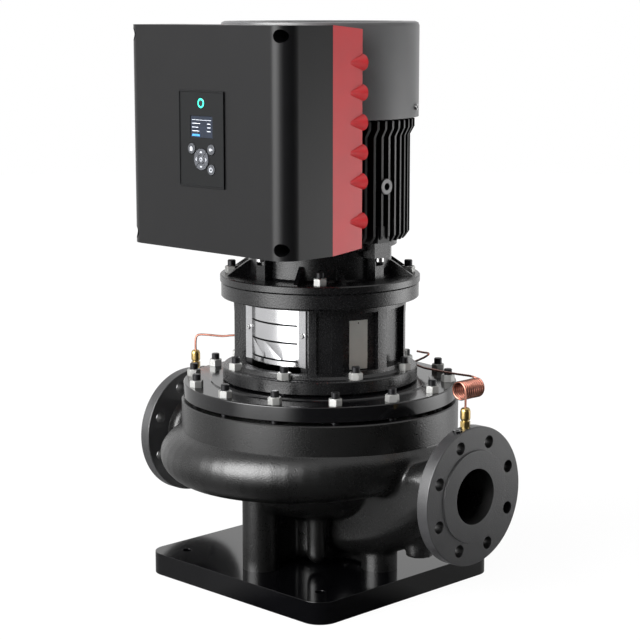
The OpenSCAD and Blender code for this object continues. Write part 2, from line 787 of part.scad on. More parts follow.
module motor_stool() {
  color("#29292b") difference() {
    union() {
      rotate_extrude() polygon([
        [stool_in_r, stool_z], [stool_foot_r - 1, stool_z], [stool_foot_r, stool_z + 1],
        [stool_foot_r, stool_low_z - 1.5], [stool_foot_r - 1.5, stool_low_z],
        [stool_r + 4, stool_low_z], [stool_r + 1, stool_low_z + 4],
        [stool_r, stool_low_z + 25], [stool_r, stool_high_z - 25],
        [stool_r + 1, stool_high_z - 4], [stool_r + 4, stool_high_z],
        [stool_top_r - 1, stool_high_z], [stool_top_r, stool_high_z + 1],
        [stool_top_r, motor_z - 1.5], [stool_top_r - 1.5, motor_z],
        [stool_in_r + 2.1, motor_z], [stool_in_r + 2.1, motor_z - 5], [stool_in_r, motor_z - 6]
      ]);
      for (turn = [0, 180]) rotate(turn) for (side = [-1, 1]) guard_pad(side);
    }
    for (turn = [0, 180]) rotate(turn) difference() {
      stool_window();
      for (side = [-1, 1]) guard_pad(side);
    }
    for (turn = [0, 180], side = [-1, 1]) rotate(turn + side * panel_angle)
      translate([panel_reach, -panel_half, stool_low_z + 10])
        cube([40, 2 * panel_half, stool_high_z - stool_low_z - 20]);
    for (turn = [0, 180], side = [-1, 1]) rotate(turn + side * 42.5)
      translate([stool_r - 3.5, -11, stool_low_z + 8])
        cube([40, 22, stool_high_z - stool_low_z - 16]);
    ring_copies(8, stool_pcr, 22.5) translate([0, 0, stool_z - 1])
      cylinder(r = stud_hole_r, h = stool_foot_t + 6);
    ring_copies(8, stool_pcr, 22.5) translate([0, 0, stool_low_z]) cylinder(r = 11, h = 20);
    ring_copies(4, motor_flange_pcd / 2, 45) translate([0, 0, motor_z - stool_top_t + 4])
      cylinder(r = stud_r + fit, h = stool_top_t);
    for (turn = [0, 180], side = [-1, 1]) rotate(turn)
      translate([side * guard_screw_x, -guard_y + 10, guard_screw_z]) rotate([90, 0, 0])
        cylinder(r = 2 + fit, h = 30);
  }
}

module stool_studs() {
  color("#202022") {
    ring_copies(8, stool_pcr, 22.5) translate([0, 0, head_top_z - 15])
      stud(stud_r, stool_low_z + nut_h + stud_end - head_top_z + 15);
    ring_copies(4, motor_flange_pcd / 2, 45) translate([0, 0, motor_z - stool_top_t + 5])
      stud(stud_r, stool_top_t - 5 + motor_flange_t + nut_h + stud_end);
  }
}

module stool_nuts() {
  color("#c4c4c0") {
    ring_copies(8, stool_pcr, 22.5) translate([0, 0, stool_low_z]) hex_nut(nut_af, nut_h, stud_r);
    ring_copies(4, motor_flange_pcd / 2, 45) translate([0, 0, motor_z + motor_flange_t])
      hex_nut(nut_af, nut_h, stud_r);
  }
}

// Guard sheet with two flat edges, a bulged middle and three slots
guard_half = 50;
guard_bulge_r = 104;
guard_low_z = window_low_z + 7.2;
guard_high_z = stool_high_z - 4.5;
guard_screw_x = 57;
guard_screw_z = stool_low_z + 60.4;
guard_slot_pitch = 26.4;
guard_slot_h = 2.6;

module guard_sheet() {
  bulge_y = sqrt(pow(guard_bulge_r, 2) - pow(guard_half, 2)) - guard_y;
  height = guard_high_z - guard_low_z;
  color("#cfcfd2") difference() {
    translate([0, 0, guard_low_z]) linear_extrude(height) {
      for (side = [-1, 1]) translate([side * 56.7 - 6.9, -guard_y - guard_t]) square([13.8, guard_t]);
      intersection() {
        translate([0, bulge_y]) difference() {
          circle(r = guard_bulge_r + guard_t);
          circle(r = guard_bulge_r);
        }
        translate([-guard_half, -150]) square([2 * guard_half, 100]);
      }
    }
    for (i = [-1 : 1]) translate([-48, -130, guard_screw_z - 14.2 + i * guard_slot_pitch])
      cube([96, 60, guard_slot_h]);
    for (side = [-1, 1]) translate([side * guard_screw_x, -guard_y + 5, guard_screw_z])
      rotate([90, 0, 0]) cylinder(r = 2.3, h = 20);
  }
}

module guard_front() {
  guard_sheet();
}

module guard_rear() {
  rotate(180) guard_sheet();
}

module guard_screws() {
  color("#8e8e90") for (turn = [0, 180], side = [-1, 1]) rotate(turn)
    translate([side * guard_screw_x, -guard_y - guard_t, guard_screw_z]) rotate([90, 0, 0]) {
      translate([0, 0, -9]) cylinder(r = 2, h = 9);
      difference() {
        cylinder(r1 = 4, r2 = 3, h = 2.4);
        translate([0, 0, 1]) hex_prism(2.5, 3);
      }
    }
}

// Blank rating plate in the recessed panel next to the suction side rib
module nameplate() {
  plate_w = 30;
  plate_h = 72;
  color("#bdbdb8") rotate(-panel_angle)
    translate([panel_reach + 0.02, -plate_w / 2, guard_screw_z - 50 + 1]) difference() {
      cube([1, plate_w, plate_h]);
      for (z = [4, plate_h - 4]) translate([-1, plate_w / 2, z]) rotate([0, 90, 0])
        cylinder(r = 1.2, h = 4);
    }
}

// Motor bearings
bearing_bore_r = 20;
bearing_out_r = 40;
bearing_w = 18;
ball_r = 6;
ball_pitch_r = 30;
ball_count = 9;
groove_r = 6.08;
lower_bearing_z = motor_z + 26.2;
upper_bearing_z = frame_top_z - 10;

module at_bearings() {
  for (z = [lower_bearing_z, upper_bearing_z]) translate([0, 0, z]) children();
}

module race_groove() {
  translate([0, 0, bearing_w / 2]) rotate_extrude() translate([ball_pitch_r, 0]) circle(groove_r);
}

module bearing_outer_rings() {
  color("#b8b8ba") at_bearings() difference() {
    tube(bearing_out_r, ball_pitch_r + 4, bearing_w);
    race_groove();
  }
}

module bearing_inner_rings() {
  color("#b8b8ba") at_bearings() difference() {
    tube(ball_pitch_r - 4, bearing_bore_r + fit, bearing_w);
    race_groove();
  }
}

module ball_set() {
  translate([0, 0, bearing_w / 2]) ring_copies(ball_count, ball_pitch_r) sphere(r = ball_r);
  translate([0, 0, bearing_w / 2 - 7.5]) difference() {
    tube(ball_pitch_r + 1.6, ball_pitch_r - 1.6, 15);
    translate([0, 0, 7.5]) ring_copies(ball_count, ball_pitch_r - 6)
      rotate([0, 90, 0]) cylinder(r = ball_r + 0.15, h = 12);
  }
}

module bearing_balls_lower() {
  color("#d0d0d2") translate([0, 0, lower_bearing_z]) ball_set();
}

module bearing_balls_upper() {
  color("#d0d0d2") translate([0, 0, upper_bearing_z]) ball_set();
}

// Drive end shield with the motor flange, corner lugs and sloping gussets
shield_r = 107;
lug_angles = [0, 90, 180, 270];
gusset_spread = 14.5;

module drive_end_shield() {
  spigot_r = stool_in_r + 2;
  color("#1d1d1f") difference() {
    union() {
      rotate_extrude() polygon([
        [23, motor_z + 18], [94, motor_z + 18], [102, motor_z + 10], [102, motor_z - 4],
        [spigot_r, motor_z - 4], [spigot_r, motor_z], [motor_flange_r - 1, motor_z],
        [motor_flange_r, motor_z + 1], [motor_flange_r, motor_z + motor_flange_t - 1.5],
        [motor_flange_r - 1.5, motor_z + motor_flange_t], [shield_r + 3, motor_z + motor_flange_t],
        [shield_r, motor_z + motor_flange_t + 3], [shield_r, frame_z - 14],
        [shield_r + 8, frame_z - 10], [shield_r + 8, frame_z], [95, frame_z],
        [95, motor_z + 27], [50, motor_z + 27], [50, motor_z + 46], [bearing_out_r + fit, motor_z + 46],
        [bearing_out_r + fit, lower_bearing_z], [23, lower_bearing_z]
      ]);
      at_angles(lug_angles) {
        translate([100, -16.5, frame_z - 22]) cube([28, 33, 22]);
        translate([100, -9, motor_z + 8]) cube([22, 18, frame_z - motor_z - 28]);
      }
      for (k = [45 : 90 : 315], side = [-1, 1]) rotate(k + side * gusset_spread)
        translate([0, 3, 0]) rotate([90, 0, 0]) linear_extrude(6) polygon([
          [100, motor_z + 5], [motor_flange_r - 7, motor_z + 5], [motor_flange_r - 8, motor_z + 12],
          [shield_r + 6, motor_z + 32], [shield_r + 2, motor_z + 34], [100, motor_z + 34]
        ]);
    }
    ring_copies(4, motor_flange_pcd / 2, 45) translate([0, 0, motor_z - 1])
      cylinder(r = stud_hole_r, h = 30);
    ring_copies(4, motor_flange_pcd / 2, 45) translate([0, 0, motor_z + motor_flange_t])
      cylinder(r = 11.5, h = 40);
    at_angles(lug_angles) translate([lug_screw_r, 0, frame_z - 34]) {
      cylinder(r = 4.3, h = 40);
      cylinder(r = 7.5, h = 12);
    }
  }
}

// Finned motor frame: parallel fins on four sides inside a round envelope
fin_count = 6;
lug_screw_r = 122;

module fin_fan() {
  for (i = [0 : fin_count - 1], side = [-1, 1])
    translate([0, side * fin_pitch * (i + 0.5) - fin_t / 2]) square([fin_tip_r + 20, fin_t]);
}

module fin_section() {
  circle(frame_shell_r);
  for (a = lug_angles) rotate(a) intersection() {
    fin_fan();
    polygon([[0, 0], [200, -205], [200, 205]]);
  }
}

module motor_frame() {
  boss_z = frame_z + 82;
  color("#1f1f21") difference() {
    union() {
      intersection() {
        translate([0, 0, frame_z]) linear_extrude(frame_h) fin_section();
        rotate_extrude() polygon([
          [0, frame_z], [fin_tip_r - 7, frame_z], [fin_tip_r, frame_z + 10],
          [fin_tip_r, frame_top_z - 26], [fin_tip_r + 7, frame_top_z - 14],
          [fin_tip_r + 7, frame_top_z - 3], [fin_tip_r - 4, frame_top_z], [0, frame_top_z]
        ]);
      }
      translate([0, 0, frame_z]) cylinder(r = frame_shell_r + 6, h = 8);
      at_angles(lug_angles) translate([100, -12, frame_z]) cube([30, 24, 24]);
      for (a = [0, 180]) rotate(a) translate([100, 0, boss_z]) rotate([0, 90, 0])
        cylinder(r = 11.7, h = fin_tip_r + 2 - 100);
      intersection() {
        translate([-48, -200, frame_z + 54]) cube([96, 110, frame_h - 62]);
        cylinder(r = drive_scoop_r - 0.2, h = 2000);
      }
    }
    translate([0, 0, frame_z - 1]) cylinder(r = 95, h = frame_h + 2);
    for (a = [0, 180]) rotate(a) translate([fin_tip_r - 22, 0, boss_z]) rotate([0, 90, 0])
      cylinder(r = 5.1, h = 40);
    at_angles(lug_angles) translate([lug_screw_r, 0, frame_z - 1]) cylinder(r = 4, h = 18);
  }
}

// Stator, windings, rotor and magnets
stator_low_z = frame_z + 24;
stator_h = frame_h - 59;
stator_bore_r = 60;

module stator_core() {
  teeth = 24;
  color("#6d7074") translate([0, 0, stator_low_z]) linear_extrude(stator_h) difference() {
    circle(95 - fit);
    circle(stator_bore_r);
    for (i = [0 : teeth - 1]) rotate(360 * i / teeth) translate([stator_bore_r + 4, -3])
      square([18, 6]);
  }
}

module stator_windings() {
  color("#9a5a2c") for (z = [stator_low_z - 12, stator_low_z + stator_h + 0.2])
    translate([0, 0, z]) rotate_extrude() polygon([
      [64, 0], [86, 0], [89, 4], [89, 11.8], [62, 11.8], [62, 3]
    ]);
}

module rotor_core() {
  color("#74777a") translate([0, 0, stator_low_z]) tube(54, 25 + fit, stator_h);
}

module rotor_magnets() {
  count = 8;
  color("#4a4a52") translate([0, 0, stator_low_z + 2]) linear_extrude(stator_h - 4) difference() {
    circle(59.2);
    circle(54 + fit);
    for (i = [0 : count - 1]) rotate(360 * i / count) translate([40, -1.5]) square([30, 3]);
  }
}

module motor_shaft() {
  fan_seat_z = upper_bearing_z + bearing_w + 1;
  color("#b0b0ae") difference() {
    rotate_extrude() polygon([
      [0, shaft_end_z], [motor_shaft_r - 1, shaft_end_z], [motor_shaft_r, shaft_end_z + 1],
      [motor_shaft_r, motor_z + 2], [bearing_bore_r, motor_z + 2],
      [bearing_bore_r, lower_bearing_z + bearing_w + 0.2], [24, lower_bearing_z + bearing_w + 0.2],
      [24, stator_low_z - 14], [25, stator_low_z - 14], [25, stator_low_z + stator_h],
      [24, stator_low_z + stator_h], [24, upper_bearing_z - 0.2],
      [bearing_bore_r, upper_bearing_z - 0.2], [bearing_bore_r, fan_seat_z], [17, fan_seat_z],
      [17, fan_seat_z + 54], [16, fan_seat_z + 55], [0, fan_seat_z + 55]
    ]);
    translate([motor_shaft_r - 5 - fit, -key_w / 2 - fit, shaft_end_z + 6 - fit])
      cube([10, key_w + 2 * fit, key_len + 2 * fit]);
  }
}

// Rear end shield with the upper bearing seat and the lugs of the fan cover
cover_screw_angle = 27;
cover_screw_z = frame_top_z + 14.5;

module rear_end_shield() {
  color("#232325") difference() {
    union() {
      rotate_extrude() polygon([
        [23, frame_top_z + 9], [50, frame_top_z + 9], [50, frame_top_z + 6], [104, frame_top_z + 6],
        [104, frame_top_z], [95 - fit, frame_top_z], [95 - fit, frame_top_z - 4],
        [90, frame_top_z - 4], [90, frame_top_z], [50, frame_top_z], [50, upper_bearing_z - 1],
        [bearing_out_r + fit, upper_bearing_z - 1], [bearing_out_r + fit, upper_bearing_z + bearing_w + fit],
        [23, upper_bearing_z + bearing_w + fit]
      ]);
      at_angles([for (i = [0 : 3]) cover_screw_angle + 90 * i])
        translate([92, -8, frame_top_z]) cube([fan_cover_r - 2.2 - 93, 16, 20.5]);
    }
    at_angles([for (i = [0 : 3]) cover_screw_angle + 90 * i])
      translate([120, 0, cover_screw_z]) rotate([0, 90, 0]) cylinder(r = 2.5, h = 40);
  }
}

// Radial fan on the upper shaft end
fan_z = frame_top_z + 22;

module cooling_fan() {
  fan_r = 126;
  blade_h = 46;
  color("#2d2d30") difference() {
    union() {
      translate([0, 0, fan_z]) cylinder(r = 26, h = 30);
      translate([0, 0, fan_z]) cylinder(r = fan_r - 30, h = 3);
      intersection() {
        translate([0, 0, fan_z]) for (i = [0 : fan_blades - 1]) rotate(360 * i / fan_blades)
          translate([24, -1.5, 0]) cube([fan_r - 24, 3, blade_h]);
        rotate_extrude() polygon([
          [20, fan_z], [fan_r, fan_z], [fan_r, fan_z + blade_h - 10], [fan_r - 14, fan_z + blade_h],
          [44, fan_z + blade_h], [20, fan_z + 30]
        ]);
      }
    }
    translate([0, 0, fan_z - 1]) cylinder(r = 17 + fit, h = 60);
  }
}

// Fan cover: drawn cup with a grille of ring slots in its top
fan_cover_t = 2;
grille_rings = 7;
grille_pitch = 16;

module grille_slots() {
  for (i = [0 : grille_rings - 1]) {
    mid_r = 22 + i * grille_pitch;
    difference() {
      tube(mid_r + 5, mid_r - 5, 20);
      for (k = [0 : 3]) rotate(45 * k + 11.25 * (i % 2))
        translate([-160, -2.5, -1]) cube([320, 5, 22]);
    }
  }
}

module fan_cover() {
  top_z = frame_top_z + fan_cover_h - 0.5;
  low_z = frame_top_z - 0.5;
  inner_r = fan_cover_r - fan_cover_t;
  color("#505052") difference() {
    rotate_extrude() polygon([
      [inner_r, low_z], [fan_cover_r, low_z], [fan_cover_r, top_z - 6], [fan_cover_r - 1.8, top_z - 1.8],
      [fan_cover_r - 6, top_z], [0, top_z], [0, top_z - fan_cover_t], [inner_r - 5, top_z - fan_cover_t],
      [inner_r, top_z - 7]
    ]);
    translate([0, 0, top_z - 10]) grille_slots();
    at_angles([for (i = [0 : 3]) cover_screw_angle + 90 * i])
      translate([120, 0, cover_screw_z]) rotate([0, 90, 0]) cylinder(r = 2.8, h = 40);
  }
}

// Screws of the fan cover and the screws that hold the end shield to the frame
module motor_screws() {
  color("#9a9a9c") {
    at_angles([for (i = [0 : 3]) cover_screw_angle + 90 * i])
      translate([fan_cover_r, 0, cover_screw_z]) rotate([0, 90, 0])
        socket_screw(2.5 - fit, 14, 4.6, 3.2);
    at_angles(lug_angles) translate([lug_screw_r, 0, frame_z - 22]) mirror([0, 0, 1])
      socket_screw(4 - fit, 36, 6.5, 6);
  }
}

// Drive housing behind the joint: tapered tray, scooped round the motor, with cone bumps
drive_scoop_r = fan_cover_r + 4.5;
housing_back_in = 2;
housing_low_in = 5.5;
bump_offsets = [264, 222.5, 181.5, 140, 99.5, 44.5];
bump_r = 11.5;
bump_len = 35;

module housing_outer(inset) {
  half = drive_w / 2 - inset;
  hull() {
    translate([-half, -drive_joint, drive_z + inset])
      cube([2 * half, 1, drive_h - 2 * inset]);
    translate([-half + housing_back_in, -drive_back - 1, drive_z + housing_low_in + inset])
      cube([2 * (half - housing_back_in), 1, drive_h - 2 * housing_low_in - 2 * inset]);
  }
}

module drive_housing() {
  scoop_out_r = drive_scoop_r + 5;
  color("#a83c3c") difference() {
    union() {
      difference() {
        housing_outer(0);
        translate([0, 0, 0]) cylinder(r = drive_scoop_r, h = 2000);
        difference() {
          translate([0, -1, 0]) housing_outer(6);
          cylinder(r = scoop_out_r, h = 2000);
          translate([-200, -drive_back - 6, 0]) cube([400, 20, 2000]);
        }
      }
      intersection() {
        translate([-100, -drive_scoop_r - 5, drive_z + 6]) cube([200, 90, drive_h - 12]);
        tube(scoop_out_r, drive_scoop_r, 2000);
      }
      for (side = [-1, 1], z = drive_hole_z)
        translate([side * drive_hole_x, -drive_joint, z]) rotate([-90, 0, 0]) cylinder(r = 6.5, h = 20);
      for (side = [-1, 1], dz = bump_offsets)
        translate([side * (drive_w / 2 - 4), -drive_back - bump_len + 2, drive_z + dz])
          rotate([-90, 0, 0]) cylinder(r1 = 1, r2 = bump_r, h = bump_len);
    }
    cylinder(r = drive_scoop_r, h = 2000);
    for (side = [-1, 1], z = drive_hole_z)
      translate([side * drive_hole_x, -drive_joint - 1, z]) rotate([-90, 0, 0])
        cylinder(r = 2.9, h = 14);
  }
}

// Drive cover: deep shell with rounded vertical edges and four deep screw holes
drive_hole_x = drive_w / 2 - 13;
drive_hole_z = [drive_z + 15, drive_top_z - 14];
hole_post_r = drive_hole_d / 2 + 2.8;

module cover_plan(inset) {
  half = drive_w / 2 - inset;
  front = drive_front - inset;
  r = drive_corner_r - inset;
  translate([-half + r, -front]) square([2 * (half - r), front - drive_joint]);
  translate([-half, -front + r]) square([2 * half, front - r - drive_joint]);
  for (side = [-1, 1]) translate([side * (half - r), -front + r]) circle(r);
}

module drive_cover() {
  color("#3a3a3c") difference() {
    union() {
      difference() {
        translate([0, 0, drive_z]) linear_extrude(drive_h) cover_plan(0);
        translate([0, 0, drive_z + drive_wall]) linear_extrude(drive_h - 2 * drive_wall)
          cover_plan(drive_wall);
        translate([-200, -drive_joint - 0.01, drive_z + drive_wall])
          cube([400, 5, drive_h - 2 * drive_wall]);
      }
      intersection() {
        for (side = [-1, 1], z = drive_hole_z) translate([side * drive_hole_x, -drive_joint, z])
          rotate([90, 0, 0]) cylinder(r = hole_post_r, h = drive_front - drive_joint);
        translate([0, 0, drive_z]) linear_extrude(drive_h) cover_plan(0);
      }
    }
    for (side = [-1, 1], z = drive_hole_z) translate([side * drive_hole_x, -drive_joint - 5, z])
      rotate([90, 0, 0]) {
        cylinder(d = drive_hole_d, h = 120);
        translate([0, 0, -6]) cylinder(r = 3.3, h = 20);
      }
    translate([-panel_w / 2 - fit, -drive_front - 1, panel_mid_z - panel_h / 2 - fit])
      cube([panel_w + 2 * fit, 1 + panel_depth, panel_h + 2 * fit]);
    cylinder(r = drive_scoop_r + 5 + gap, h = 2000);
  }
}

module drive_screws() {
  color("#6a6a6c") for (side = [-1, 1], z = drive_hole_z)
    translate([side * drive_hole_x, -drive_joint - 5, z]) rotate([90, 0, 0])
      socket_screw(2.9 - fit, 15, 5, 5);
}

// Control board with its main components
module control_board() {
  board_y = -drive_front + 34;
  color("#2f6b3f") {
    translate([-135, board_y, drive_z + 25]) cube([270, 2, drive_h - 50]);
    for (x = [-90, -50, -10]) translate([x, board_y + 2, drive_z + 70]) rotate([-90, 0, 0])
      cylinder(r = 15, h = 22);
    translate([40, board_y + 2, drive_z + 60]) cube([70, 20, 90]);
    translate([-110, board_y - 12, drive_z + 35]) cube([220, 12, 14]);
    for (x = [-1, 1], z = [40, drive_h - 40]) translate([x * 125, -drive_front + drive_wall, drive_z + z])
      rotate([-90, 0, 0]) cylinder(r = 4, h = 30);
  }
}

// Control panel: frame plate with a raised rim and openings for display, light and keys
panel_depth = 2.4;
panel_rise = 1.5;
rim_t = 2.2;
rim_rise = 2.6;
key_fit = 0.3;
status_dz = 50;
display_w = 45.5;
display_h = 30;
display_dz = 17;
top_keys_dz = -13.7;
power_key_dz = -41.4;
side_keys_x = 20.5;
pad_dz = -28;
ok_r = 6.2;

module panel_opening(x, dz, d) {
  translate([x, -drive_front + 5, panel_mid_z + dz]) rotate([90, 0, 0]) cylinder(d = d, h = 20);
}

module panel_frame() {
  color("#2a2b2e") difference() {
    union() {
      translate([-panel_w / 2, -drive_front - panel_rise, panel_mid_z - panel_h / 2])
        cube([panel_w, panel_depth + panel_rise, panel_h]);
      difference() {
        translate([-panel_w / 2, -drive_front - rim_rise, panel_mid_z - panel_h / 2])
          cube([panel_w, rim_rise, panel_h]);
        translate([-panel_w / 2 + rim_t, -drive_front - 10, panel_mid_z - panel_h / 2 + rim_t])
          cube([panel_w - 2 * rim_t, 20, panel_h - 2 * rim_t]);
      }
    }
    translate([-display_w / 2, -drive_front - 10, panel_mid_z + display_dz - display_h / 2])
      cube([display_w, 20, display_h]);
    panel_opening(0, status_dz, key_d);
    for (side = [-1, 1])
      panel_opening(side * side_keys_x, top_keys_dz, key_d + 2 * key_fit);
    panel_opening(side_keys_x, power_key_dz, key_d + 2 * key_fit);
    panel_opening(0, pad_dz, pad_d + 2 * key_fit);
  }
}

module display_window() {
  color("#3f4e63")
    translate([-display_w / 2 + fit, -drive_front - 0.8, panel_mid_z + display_dz - display_h / 2 + fit])
      cube([display_w - 2 * fit, 0.8 + panel_depth, display_h - 2 * fit]);
}

module status_light() {
  color("#2fc7a4") translate([0, -drive_front + panel_depth, panel_mid_z + status_dz])
    rotate([90, 0, 0]) {
      cylinder(r = key_d / 2 - fit, h = panel_depth + panel_rise);
      translate([0, 0, panel_depth + panel_rise])
        cylinder(r1 = key_d / 2 - fit, r2 = key_d / 2 - 1.2, h = 0.8);
    }
}

// Keys stand on their switches behind the panel and slide in their openings
key_back = panel_depth - key_travel - 0.3;
key_rise = 2.7;

module round_key(x, dz, d) {
  translate([x, -drive_front + key_back, panel_mid_z + dz]) rotate([90, 0, 0]) {
    cylinder(d = d, h = key_back + key_rise - 0.5);
    translate([0, 0, key_back + key_rise - 0.5]) cylinder(d1 = d, d2 = d - 1, h = 0.5);
  }
}

module arrow_key(turn) {
  color("#45474c") translate([0, -drive_front + key_back, panel_mid_z + pad_dz]) rotate([90, 0, 0])
    linear_extrude(key_back + key_rise) intersection() {
      difference() {
        circle(d = pad_d);
        circle(r = ok_r + key_fit);
      }
      rotate(turn) translate([0.35, 0]) polygon([[0, 0], [40, -40], [40, 40]]);
    }
}

module key_home() { color("#3c3e42") round_key(-side_keys_x, top_keys_dz, key_d); }
module key_back_button() { color("#3c3e42") round_key(side_keys_x, top_keys_dz, key_d); }
module key_power() { color("#3c3e42") round_key(side_keys_x, power_key_dz, key_d); }
module key_ok() { color("#45474c") round_key(0, pad_dz, 2 * ok_r); }
module key_up() { arrow_key(90); }
module key_down() { arrow_key(270); }
module key_left() { arrow_key(180); }
module key_right() { arrow_key(0); }

// Brass compression fittings on the two port flanges
fitting_h = 31;

module fitting() {
  translate([tap_x, tap_y, tap_z]) difference() {
    union() {
      translate([0, 0, -11]) cylinder(r = tap_r - fit, h = 12);
      cylinder(r = 6.2, h = 3);
      translate([0, 0, 3]) hex_prism(13, 8);
      translate([0, 0, 11]) cylinder(r = 5, h = 3);
      translate([0, 0, 13]) rotate_extrude() polygon([
        [0, 0], [6.4, 0], [7.3, 2.5], [7.3, 12], [6.4, 15.5], [4.2, 17.5], [0, 17.5]
      ]);
    }
    translate([0, 0, fitting_h - 10]) cylinder(d = pipe_d + 0.1, h = 20);
  }
}

module pipe_fittings() {
  color("#b08d3c") for (side = [0, 180]) rotate(side) fitting();
}

// Socket plugs in the second rim hole of both flanges
module port_plugs() {
  color("#1a1a1c") for (side = [0, 180]) rotate(side) translate([tap_x, plug_y, plug_z])
    difference() {
      union() {
        translate([0, 0, -11]) cylinder(r = tap_r - fit, h = 14);
        translate([0, 0, 1.6]) cylinder(r = 6, h = 3);
      }
      translate([0, 0, 2]) hex_prism(5, 10);
    }
}

// Pipes: routes chosen by hand, smoothed, and swept with a small ring of points
function catmull(p0, p1, p2, p3, t) = 0.5 * (2 * p1 + (p2 - p0) * t
  + (2 * p0 - 5 * p1 + 4 * p2 - p3) * t * t + (3 * p1 - p0 - 3 * p2 + p3) * t * t * t);
function smooth_route(pts, steps) = let (n = len(pts) - 1) concat(
  [for (i = [0 : n - 1], k = [0 : steps - 1])
    catmull(pts[max(i - 1, 0)], pts[i], pts[i + 1], pts[min(i + 2, n)], k / steps)],
  [pts[n]]
);
function route_dir(pts, i) = let (n = len(pts) - 1)
  unit(pts[min(i + 1, n)] - pts[max(i - 1, 0)]);
function turn_side(side, dir) = unit(side - (side * dir) * dir);
function side_list(pts, first) = [
  for (i = 0, side = turn_side(first, route_dir(pts, 0)); i < len(pts);
    i = i + 1, side = turn_side(side, route_dir(pts, min(i, len(pts) - 1)))) side
];

module swept_pipe(pts, d, sides, first) {
  side = side_list(pts, first);
  loft([for (i = [0 : len(pts) - 1]) let (dir = route_dir(pts, i), up = cross(side[i], dir))
    [for (k = [0 : sides - 1]) let (a = 360 * k / sides)
      pts[i] + d / 2 * (cos(a) * side[i] + sin(a) * up)]]);
}

coil_z = tap_z + 52;
coil_x = tap_x - coil_r;
coil_steps = 14;
coil_end_y = tap_y + coil_pitch * (coil_turns + 0.25);
pipe_low_z = tap_z + fitting_h - 9;
sensor_port_x = 16;
sensor_y = 168;
sensor_z = stool_low_z + 4.6;

coil_points = [
  for (i = [0 : (coil_turns + 0.25) * coil_steps]) let (a = 360 * i / coil_steps)
    [coil_x + coil_r * cos(a), tap_y + coil_pitch * a / 360, coil_z + coil_r * sin(a)]
];
suction_run = [
  [coil_x - 14, coil_end_y + 3, 341], [236, 46, 336], [187, 71, 329], [140, 97, 322.5],
  [105, 119, 317], [75, 135, 315], [44, 148, 314], [16, 160, 312.5], [3, 169, 311.5],
  [6, 177, 311], [20, 174, 311], [45, 160, 312.5], [83, 139, 326], [95, 132.5, 331],
  [99, 135, 334.5], [92, 142, 335], [75, 151, 332.5], [54, 160, 330.5], [38, 166.5, sensor_z],
  [28, sensor_y, sensor_z], [20, sensor_y, sensor_z], [sensor_port_x - 4, sensor_y, sensor_z]
];
discharge_run = [
  [-tap_x, -tap_y, pipe_low_z], [-tap_x, -tap_y, 308], [-tap_x, -tap_y, 318], [-298, 12.3, 327],
  [-294, 15, 331],
  [-282, 22.5, 331.4], [-260, 36.5, 330.2], [-243, 47, 332.5], [-200, 76, 334],
  [-150, 110, 333.5], [-104, 143, 332], [-80, 158, 331.5], [-66, 166, sensor_z],
  [-59, sensor_y, sensor_z], [-53, sensor_y, sensor_z], [-47, sensor_y, sensor_z]
];

module suction_sense_pipe() {
  rise = [[tap_x, tap_y, pipe_low_z], [tap_x, tap_y, (pipe_low_z + coil_z) / 2]];
  start = coil_points[len(coil_points) - 1];
  route = concat(rise, coil_points,
    [for (i = [1 : 3 * len(suction_run)]) smooth_route(concat([start], suction_run), 3)[i]]);
  color("#b5694a") swept_pipe(route, pipe_d, 8, [0, 1, 0]);
}

module discharge_sense_pipe() {
  color("#b5694a") swept_pipe(smooth_route(discharge_run, 3), pipe_d, 8, [0, 1, 0]);
}

// Differential pressure sensor on a bracket behind the stool
module pressure_sensor() {
  body_low_z = sensor_z - 7;
  color("#9da0a4") {
    difference() {
      union() {
        translate([-42, 151, body_low_z]) cube([48, 34, 14]);
        translate([-18, sensor_y, body_low_z + 14]) cylinder(r = 15, h = 36);
        translate([-18, sensor_y, body_low_z + 50]) cylinder(r = 9, h = 12);
        translate([6, sensor_y, sensor_z]) rotate([0, 90, 0]) hex_prism(11, 10);
        translate([-42, sensor_y, sensor_z]) rotate([0, -90, 0]) hex_prism(11, 10);
      }
      translate([6, sensor_y, sensor_z]) rotate([0, 90, 0]) cylinder(d = pipe_d + 0.1, h = 20);
      translate([-42, sensor_y, sensor_z]) rotate([0, -90, 0]) cylinder(d = pipe_d + 0.1, h = 20);
    }
    translate([-36, 148, stool_low_z]) cube([36, 3, 26]);
    translate([-22, 132, stool_low_z]) cube([22, 17, 3]);
  }
}

base_plate();
foot_screws();
volute_casing();
wear_ring();
pump_head();
head_seal();
head_studs();
head_nuts();
impeller();
impeller_nut();
pump_shaft();
shaft_key();
shaft_clamp();
clamp_screws();
seal_seat();
seal_face();
seal_spring();
motor_stool();
stool_studs();
stool_nuts();
guard_front();
guard_rear();
guard_screws();
nameplate();
drive_end_shield();
bearing_outer_rings();
bearing_inner_rings();
bearing_balls_lower();
bearing_balls_upper();
motor_frame();
stator_core();
stator_windings();
rotor_core();
rotor_magnets();
motor_shaft();
rear_end_shield();
cooling_fan();
fan_cover();
motor_screws();
drive_housing();
drive_cover();
drive_screws();
control_board();
panel_frame();
display_window();
status_light();
key_home();
key_back_button();  // key_back
key_power();
key_ok();
key_up();
key_down();
key_left();
key_right();
pipe_fittings();
suction_sense_pipe();
discharge_sense_pipe();
pressure_sensor();
air_vent_screw();
port_plugs();
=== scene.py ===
# %% [markdown]
# # Inline centrifugal pump
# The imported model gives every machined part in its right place. This lesson adds what a
# machine part can't say by itself: cast skin, paint, brushed metal, copper and light.
# Each step names the real piece, the ways to make it in Blender, and the way chosen.

import json
import math

import bmesh
import bpy
from mathutils import Matrix, Vector

